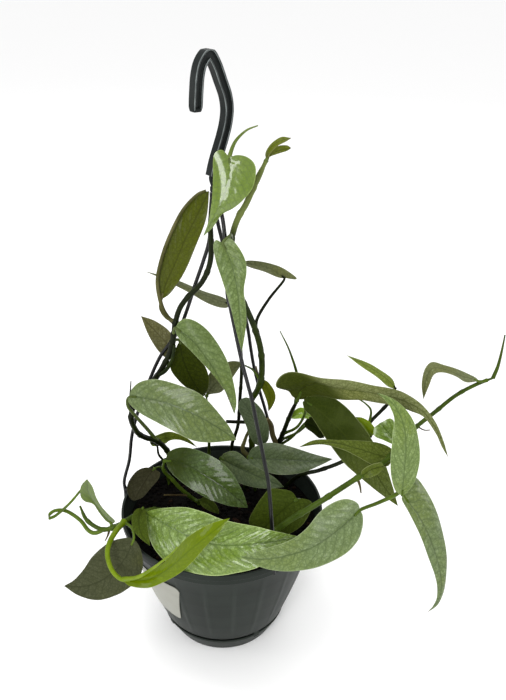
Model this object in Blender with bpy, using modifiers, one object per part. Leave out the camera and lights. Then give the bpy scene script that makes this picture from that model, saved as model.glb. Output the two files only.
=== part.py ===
"""A cebu blue pothos in a hanging pot: pot, saucer, soil, label, wire hanger and leafy stems.

The origin is the middle of the saucer's flat underside, +Z is up and the front of the pot faces -Y.
Lengths are in metres. Foliage is placed by sight lines: a leaf's point is named by its pixel in the
506 by 700 picture of the plant and by how far back it lies, in millimetres along +Y.
"""

import math
from dataclasses import dataclass, field

import bmesh
import bpy
import numpy as np
from mathutils import Matrix, Vector

COLLECTION_NAME = "potted_cebu_blue_pothos"
MM = 0.001

# Pot
POT_TOP = 146 * MM
RIM_RADIUS = 100 * MM
LIP_HEIGHT = 6 * MM
BAND_HEIGHT = 7 * MM
BAND_RADIUS = 98.2 * MM
BODY_TOP = POT_TOP - LIP_HEIGHT - BAND_HEIGHT
BODY_TOP_RADIUS = 96.4 * MM
STEP_HEIGHT = 25.5 * MM
STEP_RADIUS = 64.6 * MM
PLUG_RADIUS = 60.2 * MM
PLUG_FOOT_RADIUS = 52.0 * MM
POT_WALL = 1.8 * MM
WALL_BULGE = 1.7 * MM
WALL_ROWS = (1 / 3, 2 / 3)
POT_UNDERSIDE = 5 * MM
POT_FLOOR = 7.2 * MM
FOOT_RING_RADIUS = 44 * MM
FOOT_RING_WIDTH = 3 * MM
TURNED_STEPS = 32
DRAIN_HOLES = 6
DRAIN_HOLE_RADIUS = 4 * MM
DRAIN_CIRCLE_RADIUS = 27 * MM

# Saucer
SAUCER_BASE_RADIUS = 52 * MM
SAUCER_TOP_RADIUS = 63.6 * MM
SAUCER_HEIGHT = 21.8 * MM
SAUCER_WALL = 1.6 * MM
SAUCER_FLOOR = 2 * MM
SAUCER_CLIPS = 4
CLIP_FIRST_ANGLE = math.radians(-57)
CLIP_SIZE = (3.0 * MM, 6 * MM, 5 * MM)

# Every two pieces that touch keep this much air between their meshes.
SEAT = 0.3 * MM

# Label
LABEL_LOW = 55 * MM
LABEL_HIGH = 117 * MM
LABEL_ANGLES = (math.radians(192), math.radians(242))
LABEL_THICKNESS = 0.5 * MM
LABEL_CORNER = 6 * MM
LABEL_LEAN = math.radians(3.4)
LABEL_TILT = 2 * MM
LABEL_SEAT = 0.45 * MM

# Soil
SOIL_TOP = 128 * MM
SOIL_MOUND = 1.6 * MM
SOIL_RINGS = 2
SOIL_CLEARANCE = 0.7 * MM
ROOT_DEPTH = 16 * MM
ROOT_CLEARANCE = 0.5 * MM

# Viewpoint that the sight lines start from
VIEW_PLACE = Vector((31 * MM, -662 * MM, 701 * MM))
VIEW_PITCH = math.radians(29.7)
VIEW_FOCAL = 850.0
VIEW_MIDDLE = (253.0, 350.0)

# Hook and strands
HOOK_TURN = math.radians(45)
HOOK_WIDTH = 8.6 * MM
HOOK_DEPTH = 7.4 * MM
HOOK_FLANGE = 1.5 * MM
HOOK_WEB = 2.8 * MM
HOOK_SEGMENTS = 22
NECK_RADIUS = 2.0 * MM
NECK_ROOT = 1.1 * MM
NECK_LAP = 2.5 * MM
HUB_RADIUS = 3.9 * MM
HUB_HEIGHT = 5 * MM
STRAND_RADIUS = 1.7 * MM
STRAND_SPREAD = 2.6 * MM
STRAND_SEGMENTS = 23
STRAND_DROP = 4 * MM
TAIL_STAND = 0.5 * MM
CLIP_BRIDGE = 2.6 * MM
CLIP_CLEARANCE = 0.8 * MM
CLIP_SPAN = 4 * MM
CLIP_DROP = 7 * MM

# Leaves
BLADE_THICKNESS = 0.8 * MM
STEM_STEP = 17 * MM
STALK_STEP = 11 * MM
STALK_TAPER = 0.3
JOINT_REACH = 5 * MM
BLADE_STATIONS = (0.0, 0.1, 0.24, 0.41, 0.6, 0.8, 1.0)
EDGE_START = 0.05
EDGE_END = 0.985
PATH_STEPS = 60


def sight_line(px, py):
    """Direction from the viewpoint through a pixel of the picture."""
    forward = Vector((0, math.cos(VIEW_PITCH), -math.sin(VIEW_PITCH)))
    up = Vector((0, math.sin(VIEW_PITCH), math.cos(VIEW_PITCH)))
    across = (px - VIEW_MIDDLE[0]) / VIEW_FOCAL
    rise = (VIEW_MIDDLE[1] - py) / VIEW_FOCAL
    return forward + up * rise + Vector((across, 0, 0))


def seen(px, py, depth):
    """Point behind a pixel, depth millimetres along +Y from the pot's axis."""
    line = sight_line(px, py)
    return VIEW_PLACE + line * ((depth * MM - VIEW_PLACE.y) / line.y)


def on_level(px, py, level):
    """Point behind a pixel at a height in metres."""
    line = sight_line(px, py)
    return VIEW_PLACE + line * ((level - VIEW_PLACE.z) / line.z)


def on_hook_plane(px, py):
    """Point behind a pixel on the upright plane of the hook."""
    normal = Vector((math.sin(HOOK_TURN), -math.cos(HOOK_TURN), 0))
    line = sight_line(px, py)
    return VIEW_PLACE - line * (VIEW_PLACE.dot(normal) / line.dot(normal))


def points_of(picks):
    return [pick if isinstance(pick, Vector) else seen(*pick) for pick in picks]


def curve_through(points, count):
    """count + 1 points on a Catmull-Rom curve through the given ones, evenly spaced by length."""
    points = [Vector(p) for p in points]
    ends = [points[0] * 2 - points[1]] + points + [points[-1] * 2 - points[-2]]
    fine = []
    for a, b, c, d in zip(ends, ends[1:], ends[2:], ends[3:]):
        for step in range(12):
            t = step / 12
            square = (2 * a - 5 * b + 4 * c - d) * t**2
            cube = (3 * b - a - 3 * c + d) * t**3
            fine.append(0.5 * (2 * b + (c - a) * t + square + cube))
    fine.append(points[-1])
    lengths = np.cumsum([0.0] + [(q - p).length for p, q in zip(fine, fine[1:])])
    wanted = np.linspace(0, lengths[-1], count + 1)
    return [
        Vector([np.interp(w, lengths, [p[axis] for p in fine]) for axis in range(3)]) for w in wanted
    ]


def length_of(points):
    return sum((q - p).length for p, q in zip(points, points[1:]))


def material(name, colour, roughness, metallic=0.0):
    made = bpy.data.materials.new(name)
    made.use_nodes = True
    shader = made.node_tree.nodes["Principled BSDF"]
    shader.inputs["Base Color"].default_value = (*colour, 1)
    shader.inputs["Roughness"].default_value = roughness
    shader.inputs["Metallic"].default_value = metallic
    made.diffuse_color = (*colour, 1)
    return made


def add_object(name, mesh, collection, finish=None):
    made = bpy.data.objects.new(name, mesh)
    collection.objects.link(made)
    if finish:
        mesh.materials.clear()
        mesh.materials.append(finish)
    return made


def mesh_from(name, work):
    """Mesh of a bmesh, with its faces turned outwards."""
    bmesh.ops.recalc_face_normals(work, faces=work.faces)
    mesh = bpy.data.meshes.new(name)
    work.to_mesh(mesh)
    work.free()
    return mesh


def apply_modifiers(made):
    """Replaces the object's mesh by its evaluated one."""
    graph = bpy.context.evaluated_depsgraph_get()
    mesh = bpy.data.meshes.new_from_object(made.evaluated_get(graph))
    old = made.data
    made.modifiers.clear()
    made.data = mesh
    bpy.data.meshes.remove(old)


def tube(name, points, radii, collection, sides=6):
    """Closed tube along the points as a mesh; radii has a value for each point."""
    curve = bpy.data.curves.new(name, "CURVE")
    curve.dimensions = "3D"
    curve.bevel_depth = 1.0
    curve.bevel_resolution = (sides - 4) // 2
    curve.use_fill_caps = True
    spline = curve.splines.new("POLY")
    spline.points.add(len(points) - 1)
    for target, point, radius in zip(spline.points, points, radii):
        target.co = (*point, 1)
        target.radius = radius
    guide = bpy.data.objects.new(name, curve)
    collection.objects.link(guide)
    graph = bpy.context.evaluated_depsgraph_get()
    mesh = bpy.data.meshes.new_from_object(guide.evaluated_get(graph))
    matrix = guide.matrix_world.copy()
    bpy.data.objects.remove(guide)
    work = bmesh.new()
    work.from_mesh(mesh)
    bmesh.ops.remove_doubles(work, verts=work.verts, dist=0.00001)
    bmesh.ops.triangulate(work, faces=work.faces)
    bmesh.ops.recalc_face_normals(work, faces=work.faces)
    work.to_mesh(mesh)
    work.free()
    made = add_object(name, mesh, collection)
    made.matrix_world = matrix
    return made


def join_all(body, others, collection, solver="MANIFOLD"):
    """Unites the body with every object of the list by one Boolean, then removes those objects."""
    extra = bpy.data.collections.new(body.name + "_union")
    bpy.context.scene.collection.children.link(extra)
    for other in others:
        for holder in list(other.users_collection):
            holder.objects.unlink(other)
        extra.objects.link(other)
    union = body.modifiers.new("union", "BOOLEAN")
    union.operation = "UNION"
    union.operand_type = "COLLECTION"
    union.collection = extra
    union.solver = solver
    apply_modifiers(body)
    for other in others:
        bpy.data.objects.remove(other)
    bpy.data.collections.remove(extra)


def turned(name, profile, finish, collection, steps=TURNED_STEPS):
    """Solid of revolution. The profile runs from the axis, up the inside and down the outside."""
    mesh = bpy.data.meshes.new(name)
    count = len(profile)
    mesh.from_pydata([(r, 0, z) for r, z in profile], [(i, i + 1) for i in range(count - 1)], [])
    made = add_object(name, mesh, collection, finish)
    screw = made.modifiers.new("turn", "SCREW")
    screw.axis = "Z"
    screw.steps = steps
    screw.render_steps = steps
    screw.use_merge_vertices = True
    screw.merge_threshold = 0.0001
    screw.use_normal_calculate = False
    return made


def wall_radius(height):
    """Outer radius of the pot's tapered body at a height: it swells a little between its ends."""
    share = (height - STEP_HEIGHT) / (BODY_TOP - STEP_HEIGHT)
    return STEP_RADIUS + (BODY_TOP_RADIUS - STEP_RADIUS) * share + 4 * WALL_BULGE * share * (1 - share)


def inner_radius(height):
    """Inner radius of the pot's tapered body at a height."""
    low = STEP_HEIGHT + 2 * POT_WALL
    share = (height - low) / (BODY_TOP - low)
    straight = STEP_RADIUS - POT_WALL + (BODY_TOP_RADIUS - STEP_RADIUS) * share
    return straight + 4 * WALL_BULGE * share * (1 - share)


def build_pot(collection, cutters):
    finish = material("pot_plastic", (0.045, 0.052, 0.05), 0.45)
    lip_low = POT_TOP - LIP_HEIGHT
    round_off = 0.8 * MM
    corner = STEP_HEIGHT + 2 * POT_WALL
    inner_rows = [corner + (BODY_TOP - corner) * share for share in WALL_ROWS]
    outer_rows = [STEP_HEIGHT + (BODY_TOP - STEP_HEIGHT) * share for share in reversed(WALL_ROWS)]
    profile = [
        (0, POT_FLOOR),
        (PLUG_FOOT_RADIUS - POT_WALL - round_off, POT_FLOOR),
        (PLUG_RADIUS - POT_WALL, STEP_HEIGHT + POT_WALL),
        (STEP_RADIUS - POT_WALL, corner),
        *((inner_radius(height), height) for height in inner_rows),
        (BODY_TOP_RADIUS - POT_WALL, BODY_TOP),
        (RIM_RADIUS - POT_WALL - round_off, lip_low),
        (RIM_RADIUS - POT_WALL - round_off, POT_TOP - round_off),
        (RIM_RADIUS - POT_WALL, POT_TOP),
        (RIM_RADIUS - round_off, POT_TOP),
        (RIM_RADIUS, POT_TOP - round_off),
        (RIM_RADIUS, lip_low),
        (BAND_RADIUS, lip_low - round_off),
        (BAND_RADIUS, BODY_TOP),
        (BODY_TOP_RADIUS, BODY_TOP),
        *((wall_radius(height), height) for height in outer_rows),
        (STEP_RADIUS, STEP_HEIGHT),
        (PLUG_RADIUS, STEP_HEIGHT - round_off / 2),
        (PLUG_FOOT_RADIUS, POT_UNDERSIDE + round_off),
        (PLUG_FOOT_RADIUS - round_off, POT_UNDERSIDE),
        (FOOT_RING_RADIUS, POT_UNDERSIDE),
        (FOOT_RING_RADIUS, SAUCER_FLOOR + SEAT),
        (FOOT_RING_RADIUS - FOOT_RING_WIDTH, SAUCER_FLOOR + SEAT),
        (FOOT_RING_RADIUS - FOOT_RING_WIDTH, POT_UNDERSIDE),
        (0, POT_UNDERSIDE),
    ]
    pot = turned("pot", profile, finish, collection)
    drain = bmesh.new()
    for index in range(DRAIN_HOLES):
        angle = 2 * math.pi * index / DRAIN_HOLES
        place = Matrix.Translation((
            DRAIN_CIRCLE_RADIUS * math.cos(angle), DRAIN_CIRCLE_RADIUS * math.sin(angle), POT_UNDERSIDE,
        ))
        bmesh.ops.create_cone(
            drain, cap_ends=True, segments=12, radius1=DRAIN_HOLE_RADIUS, radius2=DRAIN_HOLE_RADIUS,
            depth=3 * (POT_FLOOR - POT_UNDERSIDE), matrix=place,
        )
    cutter = add_object("drain_cutter", mesh_from("drain_cutter", drain), cutters)
    cutter.hide_render = True
    cutter.display_type = "WIRE"
    cut = pot.modifiers.new("drain_holes", "BOOLEAN")
    cut.operation = "DIFFERENCE"
    cut.object = cutter
    return pot


def build_saucer(collection):
    finish = material("saucer_plastic", (0.055, 0.062, 0.06), 0.5)
    round_off = 0.8 * MM
    profile = [
        (0, SAUCER_FLOOR),
        (SAUCER_BASE_RADIUS - SAUCER_WALL + round_off, SAUCER_FLOOR),
        (SAUCER_TOP_RADIUS - SAUCER_WALL, SAUCER_HEIGHT),
        (SAUCER_TOP_RADIUS, SAUCER_HEIGHT),
        (SAUCER_TOP_RADIUS, SAUCER_HEIGHT - 2 * round_off),
        (SAUCER_BASE_RADIUS + 2 * round_off, round_off),
        (SAUCER_BASE_RADIUS, 0),
        (0, 0),
    ]
    saucer = turned("saucer", profile, finish, collection)
    apply_modifiers(saucer)
    clips = []
    clip_height = STEP_HEIGHT - SEAT - (SAUCER_HEIGHT - CLIP_SIZE[2] + 3 * SEAT)
    for index in range(SAUCER_CLIPS):
        angle = CLIP_FIRST_ANGLE + 2 * math.pi * index / SAUCER_CLIPS
        reach = SAUCER_TOP_RADIUS - SAUCER_WALL / 2
        low = SAUCER_HEIGHT - CLIP_SIZE[2] + 3 * SEAT
        work = bmesh.new()
        bmesh.ops.create_cube(work, size=1.0)
        scale = Matrix.Diagonal((SAUCER_WALL * 0.7, CLIP_SIZE[1], clip_height, 1))
        place = Matrix.Translation((reach * math.cos(angle), reach * math.sin(angle), low + clip_height / 2))
        bmesh.ops.transform(work, matrix=place @ Matrix.Rotation(angle, 4, "Z") @ scale, verts=work.verts)
        clips.append(add_object("saucer_clip", mesh_from("saucer_clip", work), collection))
    join_all(saucer, clips, collection)
    return saucer


def build_label(collection):
    """Bare sticker wrapped round the pot's tapered wall, a little askew, with round corners."""
    finish = material("label_paper", (0.75, 0.76, 0.74), 0.5)
    columns, rows = 9, 3
    work = bmesh.new()
    bmesh.ops.create_grid(work, x_segments=columns, y_segments=rows, size=1)
    middle = (LABEL_LOW + LABEL_HIGH) / 2
    half_height = (LABEL_HIGH - LABEL_LOW) / 2
    half_angle = (LABEL_ANGLES[1] - LABEL_ANGLES[0]) / 2
    centre_angle = (LABEL_ANGLES[1] + LABEL_ANGLES[0]) / 2
    half_width = half_angle * wall_radius(middle)
    for vert in work.verts:
        along = vert.co.x * half_width
        inset = max(0.0, abs(along) - (half_width - LABEL_CORNER))
        high = half_height - LABEL_CORNER + math.sqrt(max(0.0, LABEL_CORNER**2 - inset**2))
        height = middle + vert.co.y * high - vert.co.x * LABEL_TILT
        radius = wall_radius(height) + LABEL_SEAT + LABEL_THICKNESS / 2
        angle = centre_angle + vert.co.x * half_angle + vert.co.y * LABEL_LEAN
        vert.co = (radius * math.cos(angle), radius * math.sin(angle), height)
    bmesh.ops.triangulate(work, faces=work.faces)
    label = add_object("pot_label", mesh_from("pot_label", work), collection, finish)
    shell = label.modifiers.new("thickness", "SOLIDIFY")
    shell.thickness = LABEL_THICKNESS
    shell.offset = 0
    return label


def soil_height(x, y):
    """Height of the soil's uneven top at a place."""
    return SOIL_TOP + SOIL_MOUND * (
        0.5 * math.sin(61 * x + 1.1) * math.cos(83 * y) + 0.4 * math.sin(137 * y - 71 * x + 0.6)
    )


def build_soil(collection, roots):
    """Soil that fills the pot, with a plain hole for each stem. roots holds (place, radius) pairs."""
    finish = material("soil", (0.012, 0.01, 0.008), 0.95)
    low = POT_FLOOR + SEAT
    corner = STEP_HEIGHT + 2 * POT_WALL
    top_radius = inner_radius(SOIL_TOP) - SOIL_CLEARANCE
    work = bmesh.new()
    bmesh.ops.create_circle(work, cap_ends=True, cap_tris=True, segments=TURNED_STEPS, radius=top_radius)
    bmesh.ops.subdivide_edges(
        work, edges=[e for e in work.edges if min(v.co.length for v in e.verts) < 0.001], cuts=SOIL_RINGS,
    )
    for vert in work.verts:
        edge_fade = min(1.0, (top_radius - vert.co.length) / (10 * MM))
        vert.co.z = SOIL_TOP + (soil_height(vert.co.x, vert.co.y) - SOIL_TOP) * edge_fade
    rim = [e for e in work.edges if e.is_boundary]
    sides = [
        (inner_radius(corner) - SOIL_CLEARANCE, corner + SEAT),
        (PLUG_RADIUS - POT_WALL - SOIL_CLEARANCE, STEP_HEIGHT + POT_WALL + SEAT),
        (PLUG_FOOT_RADIUS - POT_WALL - 2 * SOIL_CLEARANCE, low),
    ]
    for radius, height in sides:
        made = bmesh.ops.extrude_edge_only(work, edges=rim)["geom"]
        for vert in (g for g in made if isinstance(g, bmesh.types.BMVert)):
            flat = Vector((vert.co.x, vert.co.y, 0)).normalized() * radius
            vert.co = (flat.x, flat.y, height)
        rim = [g for g in made if isinstance(g, bmesh.types.BMEdge) and g.is_boundary]
    bmesh.ops.holes_fill(work, edges=rim)
    bmesh.ops.triangulate(work, faces=work.faces)
    soil = add_object("soil", mesh_from("soil", work), collection, finish)
    drills = []
    for place, radius in roots:
        work = bmesh.new()
        depth = ROOT_DEPTH + 20 * MM
        centre = Matrix.Translation((place.x, place.y, place.z - ROOT_DEPTH - SEAT + depth / 2))
        bmesh.ops.create_cone(
            work, cap_ends=True, segments=8, depth=depth, matrix=centre,
            radius1=radius + ROOT_CLEARANCE, radius2=radius + ROOT_CLEARANCE,
        )
        drills.append(add_object("stem_hole", mesh_from("stem_hole", work), collection))
    first = drills[0]
    if drills[1:]:
        join_all(first, drills[1:], collection)
    cut = soil.modifiers.new("stem_holes", "BOOLEAN")
    cut.operation = "DIFFERENCE"
    cut.object = first
    cut.solver = "MANIFOLD"
    apply_modifiers(soil)
    bpy.data.objects.remove(first)
    return soil


HOOK_LINE = (
    (195.5, 111.5), (196.2, 93), (197.5, 75), (201, 61.5), (208, 53.5), (214.6, 64), (220.6, 81),
    (225.2, 95), (227, 109), (225.6, 123), (222.6, 136), (218.8, 149), (214.8, 163), (212, 176),
)
NECK_BOTTOM = (211.5, 190)

# Corners of the hook's I section that fill each of its ends: the two flanges and the web between them
SECTION_FILL = (
    (0, 1, 2), (0, 2, 9), (0, 9, 11), (9, 10, 11), (3, 4, 5), (3, 5, 8), (5, 6, 8), (6, 7, 8),
    (2, 3, 8, 9),
)


def build_hook(collection):
    """Hook of I section bent in one plane, with a round neck and the hub that the strands leave."""
    finish = material("hook_plastic", (0.04, 0.045, 0.046), 0.5)
    half_width, half_depth, half_web = HOOK_WIDTH / 2, HOOK_DEPTH / 2, HOOK_WEB / 2
    web = half_width - HOOK_FLANGE
    section = [
        (-half_width, -half_depth), (-web, -half_depth), (-web, -half_web), (web, -half_web),
        (web, -half_depth), (half_width, -half_depth), (half_width, half_depth), (web, half_depth),
        (web, half_web), (-web, half_web), (-web, half_depth), (-half_width, half_depth),
    ]
    route = curve_through([on_hook_plane(*pick) for pick in HOOK_LINE], HOOK_SEGMENTS)
    normal = Vector((math.sin(HOOK_TURN), -math.cos(HOOK_TURN), 0))
    work = bmesh.new()
    before = None
    first = None
    for index, point in enumerate(route):
        back = route[max(index - 1, 0)]
        ahead = route[min(index + 1, len(route) - 1)]
        along = (ahead - back).normalized()
        side = along.cross(normal).normalized()
        ring = [work.verts.new(point + side * u + normal * v) for u, v in section]
        if before:
            for a in range(len(ring)):
                b = (a + 1) % len(ring)
                work.faces.new((before[a], before[b], ring[b], ring[a]))
        first = first or ring
        before = ring
    for ring in (first, before):
        for corners in SECTION_FILL:
            work.faces.new([ring[corner] for corner in corners])
    bmesh.ops.triangulate(work, faces=work.faces)
    hook = add_object("hanger_hook", mesh_from("hanger_hook", work), collection, finish)
    inside = route[-1] - along * NECK_LAP
    shoulder = route[-1] + along * NECK_LAP
    low = on_hook_plane(*NECK_BOTTOM)
    low = Vector((0, 0, low.z))
    outside = route[-1] + along * NECK_LAP / 4
    neck_points = [inside, outside, shoulder, low]
    neck = tube("neck", neck_points, [NECK_ROOT, NECK_ROOT, NECK_RADIUS, NECK_RADIUS], collection, 10)
    hub_top = low + Vector((0, 0, HUB_HEIGHT / 2))
    hub = tube("hub", [hub_top, low - Vector((0, 0, HUB_HEIGHT / 2))], [HUB_RADIUS] * 2, collection, 12)
    join_all(hook, [neck, hub], collection)
    return hook, low - Vector((0, 0, HUB_HEIGHT / 2))


# For each strand: the angle of its clip on the rim, the length of its tail below the rim in mm, and its
# route between the hub and the rim
STRANDS = {
    "hanger_strand_left": (167, 33, (
        (210.5, 215, 2), (209.3, 240, 3), (203, 262, 5), (195, 285, 7), (188, 307, 9), (180, 328, 10.5),
        (170, 343, 12), (160, 357, 13.5), (150, 379, 15), (138, 412, 18), (133.5, 428, 19),
        (131.3, 440, 20), (129.3, 460, 22),
    )),
    "hanger_strand_front": (-60.5, 7, (
        (219.5, 207, -6), (223, 221, -10), (225.5, 245, -15), (226.5, 270, -20), (227.5, 295, -25),
        (230.2, 307, -28), (234, 325, -32), (241, 358, -40), (248, 385, -48), (252, 400, -52),
        (256, 420, -57), (260, 440, -62), (264, 460, -67), (268, 480, -73), (270, 500, -79),
        (271.5, 520, -85),
    )),
    "hanger_strand_back": (54.5, 12, (
        (216, 213, 6), (222, 240, 13), (229, 266, 20), (237, 292, 28), (246.5, 322, 38), (251, 350, 48),
        (254, 367, 53), (260, 392, 62), (263, 402, 66), (267, 416, 71), (272, 434, 78),
    )),
}


def build_strand(name, angle, tail_length, picks, hub, collection, finish):
    """Wire from the hub to the rim, where its clip sits over the lip and its tail hangs outside."""
    outward = Vector((math.cos(math.radians(angle)), math.sin(math.radians(angle)), 0))
    start = hub + outward * STRAND_SPREAD - Vector((0, 0, 2 * SEAT))
    below = start - Vector((0, 0, STRAND_DROP))
    outside = RIM_RADIUS + SEAT + STRAND_RADIUS + 0.4 * MM
    over = outward * outside + Vector((0, 0, POT_TOP + 12 * MM))
    beside = outward * outside + Vector((0, 0, POT_TOP - 2 * MM))
    tail = outward * (outside + TAIL_STAND) + Vector((0, 0, POT_TOP - tail_length * MM))
    middle = points_of(picks)
    route = [start] + curve_through([below] + middle + [over, beside, tail], STRAND_SEGMENTS)
    strand = tube(name, route, [STRAND_RADIUS] * len(route), collection)
    work = bmesh.new()
    bmesh.ops.create_cube(work, size=1.0)
    inside = RIM_RADIUS - POT_WALL - 0.8 * MM - CLIP_CLEARANCE - CLIP_BRIDGE
    span = outside + CLIP_BRIDGE / 2 - inside
    bridge = Matrix.Translation((inside + span / 2, 0, POT_TOP + SEAT + CLIP_BRIDGE / 2))
    bridge_size = Matrix.Diagonal((span, CLIP_SPAN, CLIP_BRIDGE, 1))
    bmesh.ops.transform(work, matrix=bridge @ bridge_size, verts=work.verts)
    claw = bmesh.new()
    bmesh.ops.create_cube(claw, size=1.0)
    claw_height = POT_TOP + SEAT + CLIP_BRIDGE - CLIP_DROP / 2
    place = Matrix.Translation((inside + CLIP_BRIDGE / 2, 0, claw_height))
    claw_size = Matrix.Diagonal((CLIP_BRIDGE, CLIP_SPAN, CLIP_DROP, 1))
    bmesh.ops.transform(claw, matrix=place @ claw_size, verts=claw.verts)
    turn = Matrix.Rotation(math.radians(angle), 4, "Z")
    for part in (work, claw):
        bmesh.ops.transform(part, matrix=turn, verts=part.verts)
        bmesh.ops.triangulate(part, faces=part.faces)
    pieces = [
        add_object("clip_bridge", mesh_from("clip_bridge", work), collection),
        add_object("clip_claw", mesh_from("clip_claw", claw), collection),
    ]
    join_all(strand, pieces, collection)
    strand.data.materials.clear()
    strand.data.materials.append(finish)
    return strand


@dataclass
class Leaf:
    """A blade and its petiole.

    rib runs from the base to the tip as (px, py, depth in mm). Each edge runs beside it, from the base to
    the tip without those two points, as (px, py). rise is how far each edge stands off the rib towards the
    viewer in mm, at its widest. A petiole left empty is the straight one from the stem to the base.
    """

    rib: tuple
    edges: tuple
    rise: tuple = (2.5, 2.5)
    petiole: tuple = ()
    columns: int = 1
    petiole_radius: float = 1.6


@dataclass
class LeafyStem:
    """One leafy stem: its route from the soil up, its radii in mm, its leaves and its bare shoots."""

    route: tuple
    radii: tuple
    leaves: dict = field(default_factory=dict)
    shoots: dict = field(default_factory=dict)
    colour: tuple = (0.05, 0.11, 0.02)


def edge_path(leaf, side):
    """Pixels along one edge of a blade from base to tip, and its distance from the rib's pixels."""
    ends = [leaf.rib[0][:2], *leaf.edges[side], leaf.rib[-1][:2]]
    path = curve_through([Vector((px, py, 0)) for px, py in ends], PATH_STEPS)
    middle = curve_through([Vector((px, py, 0)) for px, py, _ in leaf.rib], PATH_STEPS)
    return path, [(a - b).length for a, b in zip(path, middle)]


def blade(name, leaf, collection):
    """Closed blade: a grid laid between the leaf's two edges and its rib, given its thickness."""
    fine = curve_through(points_of(leaf.rib), PATH_STEPS)
    forward = sight_line(*VIEW_MIDDLE)
    paths = [edge_path(leaf, side) for side in (0, 1)]
    work = bmesh.new()
    bmesh.ops.create_grid(work, x_segments=len(BLADE_STATIONS) - 1, y_segments=2 * leaf.columns, size=1)
    for vert in work.verts:
        station = BLADE_STATIONS[round((vert.co.x + 1) / 2 * (len(BLADE_STATIONS) - 1))]
        place = fine[round(station * PATH_STEPS)]
        side = 1 if vert.co.y > 0 else 0
        pixels, spread = paths[side]
        index = round((EDGE_START + (EDGE_END - EDGE_START) * station) * PATH_STEPS)
        stand = leaf.rise[side] * MM * spread[index] / max(spread)
        edge = VIEW_PLACE + sight_line(*pixels[index].xy) * ((place - VIEW_PLACE).dot(forward) - stand)
        vert.co = place.lerp(edge, abs(vert.co.y))
    bmesh.ops.triangulate(work, faces=work.faces)
    made = add_object(name, mesh_from(name, work), collection)
    shell = made.modifiers.new("thickness", "SOLIDIFY")
    shell.thickness = BLADE_THICKNESS
    shell.offset = 0
    apply_modifiers(made)
    return made


def nearest_on(route, point):
    """Point of the polyline that is nearest to a point."""
    best = route[0]
    for a, b in zip(route, route[1:]):
        step = b - a
        share = min(max((point - a).dot(step) / step.length_squared, 0.0), 1.0)
        place = a + step * share
        if (place - point).length < (best - point).length:
            best = place
    return best


def from_stem(points, stem_route):
    """The points, with a first one near the stem moved onto it."""
    joint = nearest_on(stem_route, points[0])
    if (joint - points[0]).length > JOINT_REACH:
        return points
    return [joint] + points[1:]


def petiole(name, leaf, stem_route, collection):
    """Stalk of a leaf, from the stem and on along the first part of the rib, inside the blade."""
    rib = curve_through(points_of(leaf.rib), PATH_STEPS)
    if leaf.petiole:
        points = from_stem(points_of(leaf.petiole), stem_route)
    else:
        joint = nearest_on(stem_route, rib[0])
        points = [joint] if (joint - rib[0]).length < JOINT_REACH else [joint, rib[0]]
    points = points + [rib[6]]
    count = max(2, round(length_of(points) / STALK_STEP))
    route = curve_through(points, count)
    radii = [leaf.petiole_radius * MM * (1 - STALK_TAPER * index / count) for index in range(count + 1)]
    return tube(name, route, radii, collection, 4)


def shoot(name, picks, radii, stem_route, collection):
    """Bare shoot, rolled new leaf or aerial root: a tube that tapers."""
    points = from_stem(points_of(picks), stem_route)
    count = max(3, round(length_of(points) / STALK_STEP))
    route = curve_through(points, count)
    shape = [radii[0] + (radii[1] - radii[0]) * index / count for index in range(count + 1)]
    return tube(name, route, [value * MM for value in shape], collection, 4)


def root_place(stem):
    """Where the stem leaves the soil: its route starts with a pixel alone, or with a point."""
    start = stem.route[0]
    flat = start if isinstance(start, Vector) else on_level(*start, SOIL_TOP)
    return Vector((flat.x, flat.y, soil_height(flat.x, flat.y)))


def build_stem(name, stem, collection):
    """One node: the stem with its leaves and shoots united to it."""
    finish = material(name + "_green", stem.colour, 0.4)
    root = root_place(stem)
    buried = root - Vector((0, 0, ROOT_DEPTH))
    above = root + Vector((0, 0, 3 * MM))
    points = [buried, root, above] + points_of(stem.route[1:])
    count = max(6, round(length_of(points) / STEM_STEP))
    route = [buried, root] + curve_through(points[2:], count - 1)
    last = len(route) - 1
    thick, thin = stem.radii
    radii = [(thick + (thin - thick) * index / last) * MM for index in range(last + 1)]
    body = tube(name, route, radii, collection)
    parts = []
    for leaf_name, leaf in stem.leaves.items():
        parts.append(blade(leaf_name, leaf, collection))
        parts.append(petiole(leaf_name + "_stalk", leaf, route, collection))
    for shoot_name, (picks, shoot_radii) in stem.shoots.items():
        parts.append(shoot(shoot_name, picks, shoot_radii, route, collection))
    if parts:
        join_all(body, parts, collection)
    body.data.materials.clear()
    body.data.materials.append(finish)
    return body


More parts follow.
